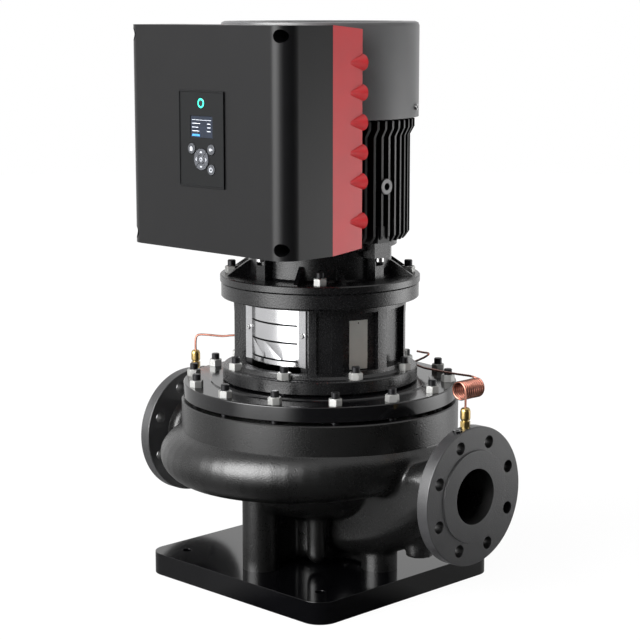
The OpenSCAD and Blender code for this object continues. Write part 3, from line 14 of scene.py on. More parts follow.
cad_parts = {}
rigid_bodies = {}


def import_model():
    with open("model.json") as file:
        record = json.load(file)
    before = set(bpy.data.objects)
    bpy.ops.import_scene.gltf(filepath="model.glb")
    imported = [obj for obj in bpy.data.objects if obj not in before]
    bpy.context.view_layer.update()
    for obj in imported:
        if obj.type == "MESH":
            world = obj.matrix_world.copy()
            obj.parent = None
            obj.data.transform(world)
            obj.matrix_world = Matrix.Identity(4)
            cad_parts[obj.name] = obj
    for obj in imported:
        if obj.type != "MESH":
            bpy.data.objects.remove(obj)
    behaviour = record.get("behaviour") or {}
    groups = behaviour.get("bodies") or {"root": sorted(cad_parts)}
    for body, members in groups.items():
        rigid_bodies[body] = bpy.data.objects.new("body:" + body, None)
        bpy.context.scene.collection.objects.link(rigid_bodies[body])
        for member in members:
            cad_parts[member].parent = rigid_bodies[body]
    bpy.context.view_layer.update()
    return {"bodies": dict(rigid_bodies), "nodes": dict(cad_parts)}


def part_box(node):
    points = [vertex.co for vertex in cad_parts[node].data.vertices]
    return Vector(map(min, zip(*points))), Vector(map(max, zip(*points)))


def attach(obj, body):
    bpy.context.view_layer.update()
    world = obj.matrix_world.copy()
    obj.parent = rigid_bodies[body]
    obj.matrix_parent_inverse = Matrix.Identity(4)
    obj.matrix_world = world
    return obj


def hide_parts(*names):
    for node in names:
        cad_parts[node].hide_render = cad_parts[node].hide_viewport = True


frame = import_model()
nodes = frame["nodes"]
ours = {part.name for part in [*nodes.values(), *frame["bodies"].values()]}
for thing in list(bpy.data.objects):
    if thing.name not in ours:
        bpy.data.objects.remove(thing)

# %% [markdown]
# ## Sizes that the new pieces share with the parts
# Heights and radii are in millimetres, as on a drawing, and are turned to metres where a
# mesh is made. They are the same values as in the part, so nothing has to be fitted.

# %% Heights and radii
MM = 0.001
PLATE_TOP = 33
LEG_R = 27
DRAIN_BOSS_R = 14.5
PORT_Z = 177
PORT_FACE = 310
PORT_BORE_R = 40
VOLUTE_Z = 204
FLOOR_Z = 186
CHAMBER_TOP = 228
BAND_TOP = 275.6
BAND_R = 209.5
PANEL_Z = 675.7
DRIVE_FRONT = 232
FRAME_Z = 521


def box_size(name):
    """Width, depth and height of a part in millimetres."""
    low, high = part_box(name)
    return [round(v * 1000, 1) for v in high - low]


print("casing", box_size("volute_casing"), "drive cover", box_size("drive_cover"))

# %% [markdown]
# ## Camera
# The photograph looks at the pump from its front corner, a little from above, through a
# long lens, which keeps upright edges almost parallel.

# %% Place the camera
def place_camera():
    lens = bpy.data.cameras.new("camera")
    lens.sensor_width = 36
    lens.lens = 102.49
    camera = bpy.data.objects.new("camera", lens)
    camera.location = (1.9151, -1.9151, 0.8534)
    camera.rotation_euler = (math.radians(90 - 9.66), 0, math.radians(45))
    bpy.context.scene.collection.objects.link(camera)
    bpy.context.scene.camera = camera
    return camera


camera = place_camera()
bpy.context.scene.view_settings.view_transform = "Standard"
print("camera at", tuple(round(v, 3) for v in camera.location))

# %% [markdown]
# ## Shader maths that reads like Python
# A finish is a small network of nodes. Wire wraps one output, so that `1 - mask` adds the
# Math node by itself, and Finish.node adds any other node from its settings and inputs.

# %% Wires and finishes
class Wire:
    """One output of a node."""

    def __init__(self, finish, socket):
        self.finish = finish
        self.socket = socket

    def __add__(self, other):
        return self.finish.maths("ADD", self, other)

    def __sub__(self, other):
        return self.finish.maths("SUBTRACT", self, other)

    def __rsub__(self, other):
        return self.finish.maths("SUBTRACT", other, self)

    def __mul__(self, other):
        return self.finish.maths("MULTIPLY", self, other)

    def __truediv__(self, other):
        return self.finish.maths("DIVIDE", self, other)

    def __gt__(self, other):
        return self.finish.maths("GREATER_THAN", self, other)

    def __lt__(self, other):
        return self.finish.maths("LESS_THAN", self, other)

    __radd__ = __add__
    __rmul__ = __mul__


class Finish:
    """The node network of one material, or of the world."""

    def __init__(self, owner):
        owner.use_nodes = True
        self.owner = owner
        self.tree = owner.node_tree
        self.tree.nodes.clear()

    def node(self, kind, settings=None, inputs=None):
        made = self.tree.nodes.new("ShaderNode" + kind)
        for name, value in (settings or {}).items():
            if name == "stops":
                stops = made.color_ramp.elements
                while len(stops) < len(value):
                    stops.new(0.5)
                for stop, (place, shade) in zip(stops, value):
                    stop.position = place
                    stop.color = (shade, shade, shade, 1)
            else:
                setattr(made, name, value)
        for name, value in (inputs or {}).items():
            if isinstance(value, Wire):
                self.tree.links.new(value.socket, made.inputs[name])
            else:
                made.inputs[name].default_value = value
        return made

    def wire(self, kind, settings=None, inputs=None, output=0):
        return Wire(self, self.node(kind, settings, inputs).outputs[output])

    def maths(self, operation, *values):
        return self.wire("Math", {"operation": operation}, dict(enumerate(values)))

    def mixed(self, mask, first, second):
        """First colour where the mask is 0, second where it is 1."""
        return self.wire("Mix", {"data_type": "RGBA"}, {0: mask, 6: first, 7: second}, 2)

    def ramp(self, value, *stops):
        return self.wire("ValToRGB", {"stops": stops}, {"Fac": value})


def colour(code, scale=1.0):
    """A colour written as on a screen, as the light that it stands for."""
    parts = [int(code[i:i + 2], 16) / 255 for i in (1, 3, 5)]
    light = [p / 12.92 if p <= 0.04045 else ((p + 0.055) / 1.055) ** 2.4 for p in parts]
    return (*[min(1, p * scale) for p in light], 1)


print("black paint is", [round(v, 4) for v in colour("#121213")])

# %% [markdown]
# ## Coated and bare surfaces
# Cast iron under paint shows the sand grain of its mould, moulded plastic a finer one, and
# turned or rolled metal runs of fine lines. All of them are one recipe with other sizes: a
# wide mottle in colour, a fine grain in roughness and in a bump. Patterns read Object
# coordinates, in metres, so the grain has its real size on every part.

# %% The shared recipe
finishes = {}


def coat(name, shade, rough, metal=0.0, mottle=0.12, mottle_mm=45, grain_mm=1.6,
         bump_mm=0.05, uneven=0.12, lines=None, ior=1.5):
    """A finish: shade, roughness, how mottled it is, and the size and depth of its grain."""
    material = bpy.data.materials.new(name)
    f = Finish(material)
    place = f.wire("TexCoord", output=3)
    if lines:
        place = f.wire("Mapping", None, {"Vector": place, "Scale": lines})
    cloud = f.wire("TexNoise", None, {"Vector": f.wire("TexCoord", output=3),
                                      "Scale": 1000 / mottle_mm, "Detail": 3.0})
    grain = f.wire("TexNoise", None, {"Vector": place, "Scale": 1000 / grain_mm, "Detail": 2.0})
    tone = f.mixed(f.ramp(cloud, (0.3, 0.0), (0.7, 1.0)),
                   colour(shade, 1 - mottle), colour(shade, 1 + mottle))
    roughness = rough + (grain - 0.5) * uneven + (cloud - 0.5) * (uneven * 0.6)
    raised = f.wire("Bump", None, {"Strength": 1.0, "Distance": bump_mm * MM, "Height": grain})
    shader = f.node("BsdfPrincipled", None, {
        "Base Color": tone, "Metallic": metal, "Roughness": roughness, "IOR": ior,
        "Normal": raised})
    f.node("OutputMaterial", None, {"Surface": Wire(f, shader.outputs[0])})
    finishes[name] = material
    return f, shader


coat("cast_black", "#0a0a0a", 0.29, grain_mm=2.1, bump_mm=0.26, uneven=0.14)
# The casting's black paint lightened to grey for the flange faces: painted light.
coat("flange_black_painted_light", "#2a2a2b", 0.34, grain_mm=1.7, bump_mm=0.34, uneven=0.22)
# Darker than the paint on the bored faces: painted shade for the dark inside the bores and bolt
# holes.
coat("bore_painted_shade", "#040404", 0.55, grain_mm=2.0, bump_mm=0.1)
coat("gloss_black", "#060607", 0.13, grain_mm=5, bump_mm=0.03, uneven=0.04)
coat("plate_black", "#030304", 0.12, grain_mm=9, bump_mm=0.02, uneven=0.03)
coat("stool_black", "#0c0c0d", 0.27, grain_mm=2.0, bump_mm=0.22, uneven=0.14)
coat("motor_black", "#0b0b0c", 0.27, grain_mm=1.8, bump_mm=0.16)
coat("fin_black", "#050506", 0.42, grain_mm=1.6, bump_mm=0.05)
coat("fan_cover_grey", "#474748", 0.32, grain_mm=0.8, bump_mm=0.01, uneven=0.05, mottle=0.04)
coat("fan_plastic", "#1b1b1d", 0.5, grain_mm=0.8, bump_mm=0.02)
coat("housing_red", "#a51e23", 0.36, grain_mm=1.0, bump_mm=0.03, mottle=0.05, uneven=0.06)
coat("cover_dark", "#09090a", 0.34, grain_mm=0.7, bump_mm=0.012, mottle=0.06, uneven=0.05,
     ior=1.33)
coat("panel_dark", "#050607", 0.36, grain_mm=0.6, bump_mm=0.008, uneven=0.04, ior=1.3)
coat("zinc", "#9b9b99", 0.5, metal=0.75, grain_mm=1.2, bump_mm=0.02, uneven=0.06)
coat("black_oxide", "#1c1c1e", 0.38, metal=0.6, grain_mm=0.9, bump_mm=0.03)
coat("dark_screw", "#4a4a4d", 0.35, metal=1.0, grain_mm=0.8, bump_mm=0.02)
coat("stainless", "#c9c9cb", 0.20, metal=1.0, mottle=0.05, grain_mm=1.2, bump_mm=0.015,
     uneven=0.12, lines=(1, 1, 0.06))
coat("shaft_steel", "#b4b4b2", 0.24, metal=1.0, grain_mm=0.6, bump_mm=0.01, lines=(0.1, 0.1, 1))
coat("core_steel", "#75777a", 0.42, metal=1.0, grain_mm=0.6, bump_mm=0.03, lines=(0.05, 0.05, 1))
coat("sensor_steel", "#a4a7aa", 0.28, metal=1.0, grain_mm=0.7, bump_mm=0.015)
coat("cast_grey_iron", "#8d8a84", 0.46, metal=0.8, grain_mm=1.5, bump_mm=0.08)
coat("bronze", "#b08a52", 0.3, metal=1.0, grain_mm=0.8, bump_mm=0.02)
coat("brass", "#a68f5c", 0.33, metal=1.0, grain_mm=0.9, bump_mm=0.015, mottle=0.14, mottle_mm=9)
coat("copper", "#a06e60", 0.24, metal=1.0, grain_mm=1.1, bump_mm=0.02, mottle=0.14, mottle_mm=16)
coat("winding_copper", "#a45f2c", 0.36, metal=0.7, grain_mm=1.1, bump_mm=0.25)
coat("magnet_black", "#3e3e46", 0.3, metal=0.8, grain_mm=0.8, bump_mm=0.02)
coat("gasket_fibre", "#4a544b", 0.8, grain_mm=0.9, bump_mm=0.05)
coat("seal_carbon", "#2c2c2e", 0.32, grain_mm=0.7, bump_mm=0.01)
coat("board_green", "#1f5a33", 0.4, grain_mm=2.2, bump_mm=0.03, mottle=0.25, mottle_mm=8)
coat("bare_metal", "#bdbdbd", 0.34, metal=1.0, grain_mm=0.5, bump_mm=0.02)
coat("milled_grey", "#8c8c8c", 0.6, metal=0.4, grain_mm=0.5, bump_mm=0.02)
coat("key_grey", "#2e3034", 0.42, grain_mm=0.5, bump_mm=0.008, mottle=0.05)
coat("pad_grey", "#35373c", 0.42, grain_mm=0.5, bump_mm=0.008, mottle=0.05)
coat("print_light", "#b9bcc2", 0.5, grain_mm=0.5, bump_mm=0.004, mottle=0.04)
coat("print_blue", "#2d7fc4", 0.5, grain_mm=0.5, bump_mm=0.004, mottle=0.04)
coat("plate_metal", "#a9a9a4", 0.34, metal=0.7, mottle=0.08, grain_mm=0.7, bump_mm=0.01,
     lines=(1, 1, 0.08))
print(len(finishes), "finishes")

# %% [markdown]
# ## Display and light ring
# The display is a dark pane behind glass, and the status light a ring that glows. The
# glowing ring is drawn by distance from its centre, which keeps the pane one piece.

# %% Display and status light
def glowing_ring(name, dark, bright, middle, inner, outer):
    """A dark face with a ring that glows between two radii round a centre."""
    f, shader = coat(name, dark, 0.22, grain_mm=0.6, bump_mm=0.004)
    spot = f.wire("TexCoord", output=3)
    offset = f.wire("VectorMath", {"operation": "SUBTRACT"}, {0: spot, 1: middle})
    flat = f.wire("VectorMath", {"operation": "MULTIPLY"}, {0: offset, 1: (1, 0, 1)})
    reach = f.wire("VectorMath", {"operation": "LENGTH"}, {0: flat}, 1)
    ring = (reach > inner * MM) * (reach < outer * MM)
    glow = f.mixed(ring, (0, 0, 0, 1), colour(bright))
    shader.inputs["Emission Strength"].default_value = 0.9
    f.tree.links.new(glow.socket, shader.inputs["Emission Color"])
    tone = f.mixed(ring, colour(dark), colour(bright))
    f.tree.links.new(tone.socket, shader.inputs["Base Color"])


glowing_ring("status_ring", "#15181a", "#2fd0ac",
             (0, -DRIVE_FRONT * MM, (PANEL_Z + 50) * MM), 4.4, 6.6)
coat("display_glass", "#141b27", 0.08, grain_mm=4, bump_mm=0.004, mottle=0.1, uneven=0.02)
print("display and ring done")

# %% [markdown]
# ## Studio
# The background is plain white paper, and large white walls light the pump from all sides.
# The studio is dark on the camera's side, and a large soft lamp hangs on the left. The sheet
# under the pump mirrors the dark side too, in a narrower part near the plate's corner. Away
# from the pump it gets brighter, most of all in a wide lane to the left and one to the
# right: on black paint these are the long lights.

# %% World, lamp and floor
LOOKS = {  # direction, and the cosines where each patch begins and is full
    "dark": ((0.94, -0.34, 0.0), 0.60, 0.80),
    "corner": ((0.7, -0.7, 0.0), 0.55, 0.85),  # the dark part of the sheet, near the pump
    "left lane": ((0.0, -1.0, 0.12), 0.88, 0.97),
    "right lane": ((0.53, 0.84, 0.34), 0.86, 0.95),
    "lamp": ((-0.17, -0.90, 0.40), 0.84, 0.97),
}
LEFT_LANE, RIGHT_LANE, LAMP = 6.0, 7.0, 15.0


def patch(f, look, name):
    """A mask that is 1 where a look meets a patch of the studio."""
    direction, begin, full = LOOKS[name]
    along = f.wire("VectorMath", {"operation": "DOT_PRODUCT"},
                   {0: look, 1: Vector(direction).normalized()}, 1)
    return f.ramp(along, (begin, 0.0), (full, 1.0))


def studio_world():
    world = bpy.data.worlds.new("studio")
    bpy.context.scene.world = world
    f = Finish(world)
    look = f.wire("TexCoord", output=0)
    light = 0.88 - patch(f, look, "dark") * 0.85 + patch(f, look, "lamp") * LAMP
    eye = f.wire("LightPath", output=0)
    strength = eye + (1 - eye) * light
    back = f.node("Background", None, {"Color": (1, 1, 1, 1), "Strength": strength})
    f.node("OutputWorld", None, {"Surface": Wire(f, back.outputs[0])})


def studio_floor():
    bm = bmesh.new()
    bmesh.ops.create_circle(bm, cap_ends=True, segments=96, radius=7)
    mesh = bpy.data.meshes.new("floor")
    bm.to_mesh(mesh)
    floor = bpy.data.objects.new("floor", mesh)
    bpy.context.scene.collection.objects.link(floor)
    f = Finish(bpy.data.materials.new("floor_paper"))
    path = f.node("LightPath")
    eye, mirror = Wire(f, path.outputs[0]), Wire(f, path.outputs["Is Glossy Ray"])
    spot = f.wire("TexCoord", output=3)
    reach = f.wire("VectorMath", {"operation": "LENGTH"}, {0: spot}, 1)
    look = f.wire("VectorMath", {"operation": "NORMALIZE"}, {0: spot})
    far = f.ramp(reach / 7, (0.02, 0.0), (0.45, 1.0))
    near = f.ramp(reach / 7, (0.06, 1.0), (0.12, 0.0))
    shade = patch(f, look, "dark") * (1 - near) + patch(f, look, "corner") * near
    lit = (0.5 + far * 0.5) * (1 - near * 0.5) * (1 - shade * 0.97)

    def glow(strength):
        return Wire(f, f.node("Emission", None, {"Color": (1, 1, 1, 1),
                                                 "Strength": strength}).outputs[0])

    def both(share, first, second):
        return Wire(f, f.node("MixShader", None, {0: share, 1: first, 2: second}).outputs[0])

    paper = Wire(f, f.node("BsdfDiffuse", None, {"Color": (0.86, 0.86, 0.86, 1)}).outputs[0])
    lanes = both(patch(f, look, "left lane") * far, glow(1.0), glow(LEFT_LANE))
    lanes = both(patch(f, look, "right lane") * far, lanes, glow(RIGHT_LANE))
    mirrored = both(lit, glow(0.02), lanes)
    seen = both(mirror, both(eye * 0.95, paper, glow(1.0)), mirrored)
    f.node("OutputMaterial", None, {"Surface": seen})
    mesh.materials.append(f.owner)


studio_world()
studio_floor()
print("studio ready")

# %% [markdown]
# ## Edges and shading of the machined parts
# No real edge is quite sharp: a broken edge catches a thin line of light. Cutting it into
# each part's mesh would be slow, so a short stack of modifiers does it: weld the loose
# triangles, join the ones in a plane, chamfer the edges, then smooth the round faces.

# %% Modifier stack
def crease_group(degrees):
    """A small geometry group: smooth faces, with edges above an angle kept sharp."""
    group = bpy.data.node_groups.new(f"crease_{degrees}", "GeometryNodeTree")
    group.interface.new_socket("Geometry", in_out="INPUT", socket_type="NodeSocketGeometry")
    group.interface.new_socket("Geometry", in_out="OUTPUT", socket_type="NodeSocketGeometry")
    made = {kind: group.nodes.new(kind) for kind in (
        "NodeGroupInput", "NodeGroupOutput", "GeometryNodeInputMeshEdgeAngle")}
    faces, edges = (group.nodes.new("GeometryNodeSetShadeSmooth") for _ in range(2))
    edges.domain = "EDGE"
    edges.inputs["Shade Smooth"].default_value = False
    above = group.nodes.new("FunctionNodeCompare")
    above.inputs["B"].default_value = math.radians(degrees)
    join = group.links.new
    join(made["GeometryNodeInputMeshEdgeAngle"].outputs[0], above.inputs["A"])
    join(made["NodeGroupInput"].outputs[0], faces.inputs[0])
    join(faces.outputs[0], edges.inputs[0])
    join(above.outputs[0], edges.inputs["Selection"])
    join(edges.outputs[0], made["NodeGroupOutput"].inputs[0])
    return group


crease = crease_group(32)


def smooth(piece, group=None, even=True):
    piece.modifiers.new("smooth", "NODES").node_group = group or crease
    if even:
        flat = piece.modifiers.new("flat faces", "WEIGHTED_NORMAL")
        flat.keep_sharp = True


def dress(name, finish, edge_mm=0.0, segments=1):
    """Gives a part its finish, broken edges and smooth round faces."""
    piece = nodes[name]
    piece.data.materials.clear()
    piece.data.materials.append(finishes[finish])
    piece.modifiers.new("weld", "WELD").merge_threshold = 0.02 * MM
    if edge_mm:
        flat = piece.modifiers.new("flat", "DECIMATE")
        flat.decimate_type = "DISSOLVE"
        flat.angle_limit = math.radians(0.4)
        bevel = piece.modifiers.new("edges", "BEVEL")
        bevel.width = edge_mm * MM
        bevel.segments = segments
        bevel.limit_method = "ANGLE"
        bevel.angle_limit = math.radians(40)
        bevel.miter_outer = "MITER_ARC"
    smooth(piece)


print("crease group ready:", crease.name)

# %% Dress the parts
dressing = {
    "plate_black": [("base_plate", 1.6)],
    "gloss_black": [("pump_head", 0.5), ("port_plugs", 0.2)],
    "stool_black": [("motor_stool", 1.0)],
    "motor_black": [("drive_end_shield", 0.7), ("rear_end_shield", 0.5)],
    "fin_black": [("motor_frame", 0.5)],
    "fan_cover_grey": [("fan_cover", 0.3)],
    "fan_plastic": [("cooling_fan", 0.3)],
    "housing_red": [("drive_housing", 0.8)],
    "cover_dark": [("drive_cover", 0.9)],
    "panel_dark": [("panel_frame", 0.5)],
    "display_glass": [("display_window", 0.2)],
    "status_ring": [("status_light", 0.2)],
    "key_grey": [("key_home", 0.2), ("key_back", 0.2), ("key_power", 0.2)],
    "pad_grey": [("key_ok", 0.2), ("key_up", 0.3), ("key_down", 0.3), ("key_left", 0.3),
                 ("key_right", 0.3)],
    "zinc": [("head_nuts", 0.3), ("stool_nuts", 0.3)],
    "black_oxide": [("head_studs", 0.0), ("stool_studs", 0.0), ("clamp_screws", 0.2)],
    "dark_screw": [("foot_screws", 0.3), ("drive_screws", 0.2)],
    "bare_metal": [("motor_screws", 0.2), ("guard_screws", 0.2)],
    "stainless": [("guard_front", 0.25), ("guard_rear", 0.25), ("seal_spring", 0.0)],
    "shaft_steel": [("pump_shaft", 0.3), ("motor_shaft", 0.3), ("shaft_key", 0.3),
                    ("impeller_nut", 0.4), ("bearing_outer_rings", 0.3),
                    ("bearing_inner_rings", 0.3), ("bearing_balls_lower", 0.0),
                    ("bearing_balls_upper", 0.0)],
    "core_steel": [("stator_core", 0.0), ("rotor_core", 0.3), ("shaft_clamp", 0.5)],
    "sensor_steel": [("pressure_sensor", 0.5), ("seal_seat", 0.3)],
    "cast_grey_iron": [("impeller", 0.0)],
    "bronze": [("wear_ring", 0.3)],
    "brass": [("pipe_fittings", 0.25), ("air_vent_screw", 0.25)],
    "copper": [("suction_sense_pipe", 0.0), ("discharge_sense_pipe", 0.0)],
    "winding_copper": [("stator_windings", 0.8)],
    "magnet_black": [("rotor_magnets", 0.2)],
    "gasket_fibre": [("head_seal", 0.0)],
    "seal_carbon": [("seal_face", 0.2)],
    "board_green": [("control_board", 0.3)],
    "plate_metal": [("nameplate", 0.15)],
    "flange_black_painted_light": [("volute_casing", 0.0)],
}
for finish, members in dressing.items():
    for name, edge in members:
        dress(name, finish, edge, segments=3 if edge > 1.2 else 2 if edge > 0.8 else 1)
missed = set(nodes) - {name for members in dressing.values() for name, _ in members}
print("parts without a finish:", sorted(missed))

# %% [markdown]
# ## Helpers for new meshes
# A finished piece keeps its object at the origin and its place in its mesh, as the packed
# parts do. Turned shapes come from a profile of radius and height spun round an axis.

# %% Mesh helpers
def settle(name, bm, finish, body="pump"):
    """Makes an object of a bmesh, cleans it, gives it a finish and a body to ride on."""
    bmesh.ops.remove_doubles(bm, verts=bm.verts, dist=1e-6)
    bmesh.ops.recalc_face_normals(bm, faces=bm.faces)
    mesh = bpy.data.meshes.new(name)
    bm.to_mesh(mesh)
    bm.free()
    piece = bpy.data.objects.new(name, mesh)
    bpy.context.scene.collection.objects.link(piece)
    if finish:
        mesh.materials.append(finishes[finish])
        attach(piece, body)
    return piece


def turned(bm, profile, steps=96, closed=False):
    """Spins a profile of (radius, height) in millimetres round the shaft axis."""
    line = [bm.verts.new((r * MM, 0, z * MM)) for r, z in profile]
    edges = [bm.edges.new(pair) for pair in zip(line, line[1:])]
    if closed:
        edges.append(bm.edges.new((line[-1], line[0])))
    bmesh.ops.spin(bm, geom=line + edges, cent=(0, 0, 0), axis=(0, 0, 1),
                   angle=math.tau, steps=steps, use_merge=True)
    bmesh.ops.remove_doubles(bm, verts=bm.verts, dist=1e-6)


def upright(bm, radius, x, y, low, high, segments=48):
    """An upright round column between two heights."""
    place = Matrix.Translation(Vector((x, y, (low + high) / 2)) * MM)
    return bmesh.ops.create_cone(
        bm, cap_ends=True, segments=segments, radius1=radius * MM,
        radius2=radius * MM, depth=(high - low) * MM, matrix=place)["verts"]


def applied(piece):
    """Bakes the modifiers of a helper object into its mesh."""
    graph = bpy.context.evaluated_depsgraph_get()
    mesh = bpy.data.meshes.new_from_object(piece.evaluated_get(graph))
    piece.modifiers.clear()
    piece.data = mesh
    return piece


def cut(piece, cutter):
    """Cuts one closed mesh out of another."""
    tool = piece.modifiers.new("cut", "BOOLEAN")
    tool.operation = "DIFFERENCE"
    tool.solver = "MANIFOLD"
    tool.object = cutter
    bpy.context.view_layer.update()
    applied(piece)
    bpy.data.objects.remove(cutter)
    return piece


print("mesh helpers ready")

# %% [markdown]
# ## Passages of the casting
# The scroll is a round section that grows on its way round the impeller and leaves as the
# discharge neck; the suction passage dives under it and turns up into the eye. A pipe of
# changing width is bridged from one ring to the next, which keeps it smooth and closed.

# %% Rings along a path
def flatten(ring, radius, crease, grow):
    """Gives a round ring upright flat sides, which end at the crease angle below its middle."""
    wide, top = radius * math.cos(math.radians(crease)), radius * (1.4 - 0.4 * grow)
    for v in ring:
        scale = grow if v.co.y > -radius * math.sin(math.radians(crease)) else 1
        v.co.x = max(-wide, min(wide, v.co.x * scale))
        v.co.y = min(top, v.co.y * (grow if v.co.y > 0 else 1))


def bridged(bm, stations, segments=56):
    """A closed tube through stations of (centre, direction, radius) in millimetres.

    A station may also hold the height of an oval section as a share of its width, or the
    crease angle and the growth of a flat sided one."""
    loops = []
    for centre, along, radius, *flat in stations:
        side = along.cross(Vector((0, 0, 1))).normalized()
        up = side.cross(along)
        turn = Matrix((side, up, along)).transposed().to_4x4()
        ring = bmesh.ops.create_circle(
            bm, cap_ends=False, segments=segments, radius=radius * MM)["verts"]
        if len(flat) == 1:
            bmesh.ops.scale(bm, vec=(1, flat[0], 1), verts=ring)
        elif flat:
            flatten(ring, radius * MM, *flat)
        bmesh.ops.transform(bm, matrix=Matrix.Translation(centre * MM) @ turn, verts=ring)
        loops.append(list({edge for v in ring for edge in v.link_edges}))
    ends = [loops[0], loops[-1]]
    for first, second in zip(loops, loops[1:]):
        bmesh.ops.bridge_loops(bm, edges=first + second)
    for loop in ends:
        bmesh.ops.contextual_create(bm, geom=loop)


def bezier(a, b, c, d, t):
    """Point and direction on a curve from a to d that leaves towards b and comes from c."""
    point = a * (1 - t) ** 3 + b * 3 * (1 - t) ** 2 * t + c * 3 * (1 - t) * t * t + d * t ** 3
    way = (b - a) * (1 - t) ** 2 + (c - b) * 2 * (1 - t) * t + (d - c) * t * t
    return point, way.normalized()


def scroll_stations(inset, start=15):
    """The scroll's sections: round at first, then ever lower and more oval under the belt."""
    stations = []
    for wrap in range(start, 315, 6):
        angle, radius = math.radians(180 - wrap), 20 + 32 * wrap / 315
        reach, sink = 139.5 + radius, 15 * max(0, wrap - 190) / 125
        stations.append((
            Vector((reach * math.cos(angle), reach * math.sin(angle), VOLUTE_Z - sink)),
            Vector((math.sin(angle), -math.cos(angle), 0)), radius - inset, 1 - sink * 0.0125))
    angle = math.radians(-135)
    throat = Vector((191.5 * math.cos(angle), 191.5 * math.sin(angle), VOLUTE_Z - 15))
    leave = Vector((math.sin(angle), -math.cos(angle), 0)) * 60
    neck = Vector((-262, 0, PORT_Z))
    for i in range(13):
        point, way = bezier(throat, throat + leave, neck + Vector((60, 0, 0)), neck, i / 12)
        stations.append((point, way, 52 - 2 * i / 12 - inset, 0.81 + 0.19 * i / 12))
    return stations


def suction_stations(radius, flat=False):
    neck, end = Vector((262, 0, PORT_Z)), Vector((60, 0, 98))
    stations = []
    for i in range(17):
        t = i / 16
        point, way = bezier(neck, neck - Vector((27, 0, 0)), end + Vector((110, 0, 0)), end, t)
        shape = (radius + 2 * t, 10 + 17 * t, 1 + 0.2 * min(1, 4 * t)) if flat else (radius,)
        stations.append((point, way, *shape))
    stations.append((Vector((0, 0, 98)), Vector((-1, 0, 0)), *shape))
    return stations


print(len(scroll_stations(0)), "sections along the scroll")

# %% [markdown]
# ## Skin of the casting
# Sand casting leaves soft inside corners where scroll, belt, legs and bosses meet. Fillets
# by hand on such meetings are hard, so overlapping solids are melted into one voxel skin,
# which is then relaxed. Flat planes are cut afterwards where a machined face begins.

# %% Melt the solids into one skin
def neck_flare(bm, side):
    """The neck behind a port flange, widening into the back of the flange."""
    stations = [(255, 50), (272, 50), (279, 51.2), (284, 54), (288, 60), (296, 62)]
    bridged(bm, [(Vector((side * x, 0, PORT_Z)), Vector((side, 0, 0)), r) for x, r in stations])


def casting_lumps():
    bm = bmesh.new()
    bridged(bm, scroll_stations(0))
    bridged(bm, suction_stations(50, flat=True))
    for side in (-1, 1):
        neck_flare(bm, side)
    turned(bm, [(0, 34.5), (50, 34.5), (59, 40), (62, 50), (62, 98), (72, 105), (108, 114),
                (126, 123), (138, 133), (147, 146), (159, 176), (162, 180), (162, 220),
                (200, 225), (207, 230), (207.5, 270), (0, 270)])
    angle = math.radians(167)
    bmesh.ops.create_uvsphere(bm, u_segments=32, v_segments=16, radius=20.5 * MM,
                              matrix=Matrix.Translation(Vector((161 * math.cos(angle),
                                                                161 * math.sin(angle), 204)) * MM))
    for x, y, top in ((125, 0, 100), (0, 125, 184), (-125, 0, 184), (0, -125, 184)):
        upright(bm, LEG_R, x, y, 25, top)
        web = Vector((x, y, 0)).normalized() * 80
        bmesh.ops.create_cube(bm, size=1, matrix=Matrix.Translation(
            (web + Vector((0, 0, 75))) * MM) @ Matrix.Diagonal(
                (0.060 if x else 0.016, 0.060 if y else 0.016, 0.082, 1)))
    upright(bm, 20, 205, 0, 69, 112)
    turn = Matrix.Rotation(math.radians(-48), 4, "Z")
    boss = upright(bm, DRAIN_BOSS_R, 90, 0, 55, 178, 32)
    tip = bmesh.ops.create_uvsphere(bm, u_segments=32, v_segments=16,
                                    radius=DRAIN_BOSS_R * MM,
                                    matrix=Matrix.Translation(Vector((90, 0, 55)) * MM))["verts"]
    web = bmesh.ops.create_cube(bm, size=1, matrix=Matrix.Translation((0.056, 0, 0.125))
                                @ Matrix.Diagonal((0.07, 0.016, 0.11, 1)))["verts"]
    bmesh.ops.transform(bm, matrix=turn, verts=boss + tip + web)
    return settle("casing_skin", bm, None)


def melt(piece, voxel_mm, rounds):
    remesh = piece.modifiers.new("skin", "REMESH")
    remesh.mode = "VOXEL"
    remesh.voxel_size = voxel_mm * MM
    bpy.context.view_layer.update()
    applied(piece)
    bm = bmesh.new()
    bm.from_mesh(piece.data)
    for _ in range(rounds):
        bmesh.ops.smooth_vert(bm, verts=bm.verts, factor=0.5, use_axis_x=True,
                              use_axis_y=True, use_axis_z=True)
    for point, outside in (((0, 0, PLATE_TOP), (0, 0, -1)), ((0, 0, 266), (0, 0, 1)),
                           ((291, 0, 0), (1, 0, 0)), ((-291, 0, 0), (-1, 0, 0))):
        sliced = bmesh.ops.bisect_plane(
            bm, geom=bm.verts[:] + bm.edges[:] + bm.faces[:], dist=1e-7,
            plane_co=Vector(point) * MM, plane_no=outside, clear_outer=True)
        rim = [e for e in sliced["geom_cut"] if isinstance(e, bmesh.types.BMEdge)]
        bmesh.ops.holes_fill(bm, edges=rim, sides=0)
    bmesh.ops.triangulate(bm, faces=[f for f in bm.faces if len(f.verts) > 4])
    bm.to_mesh(piece.data)
    bm.free()
    return piece


skin = melt(casting_lumps(), 3.0, 3)
print("casting skin has", len(skin.data.polygons), "faces")

# %% [markdown]
# ## Inside of the casting
# Seen through the ports the passages are real hollows, so the same paths with the wall
# taken off are cut out of the skin, and the bored seats after them.

# %% Cut the passages and seats
def hollow(name, build):
    bm = bmesh.new()
    build(bm)
    return settle(name, bm, None)


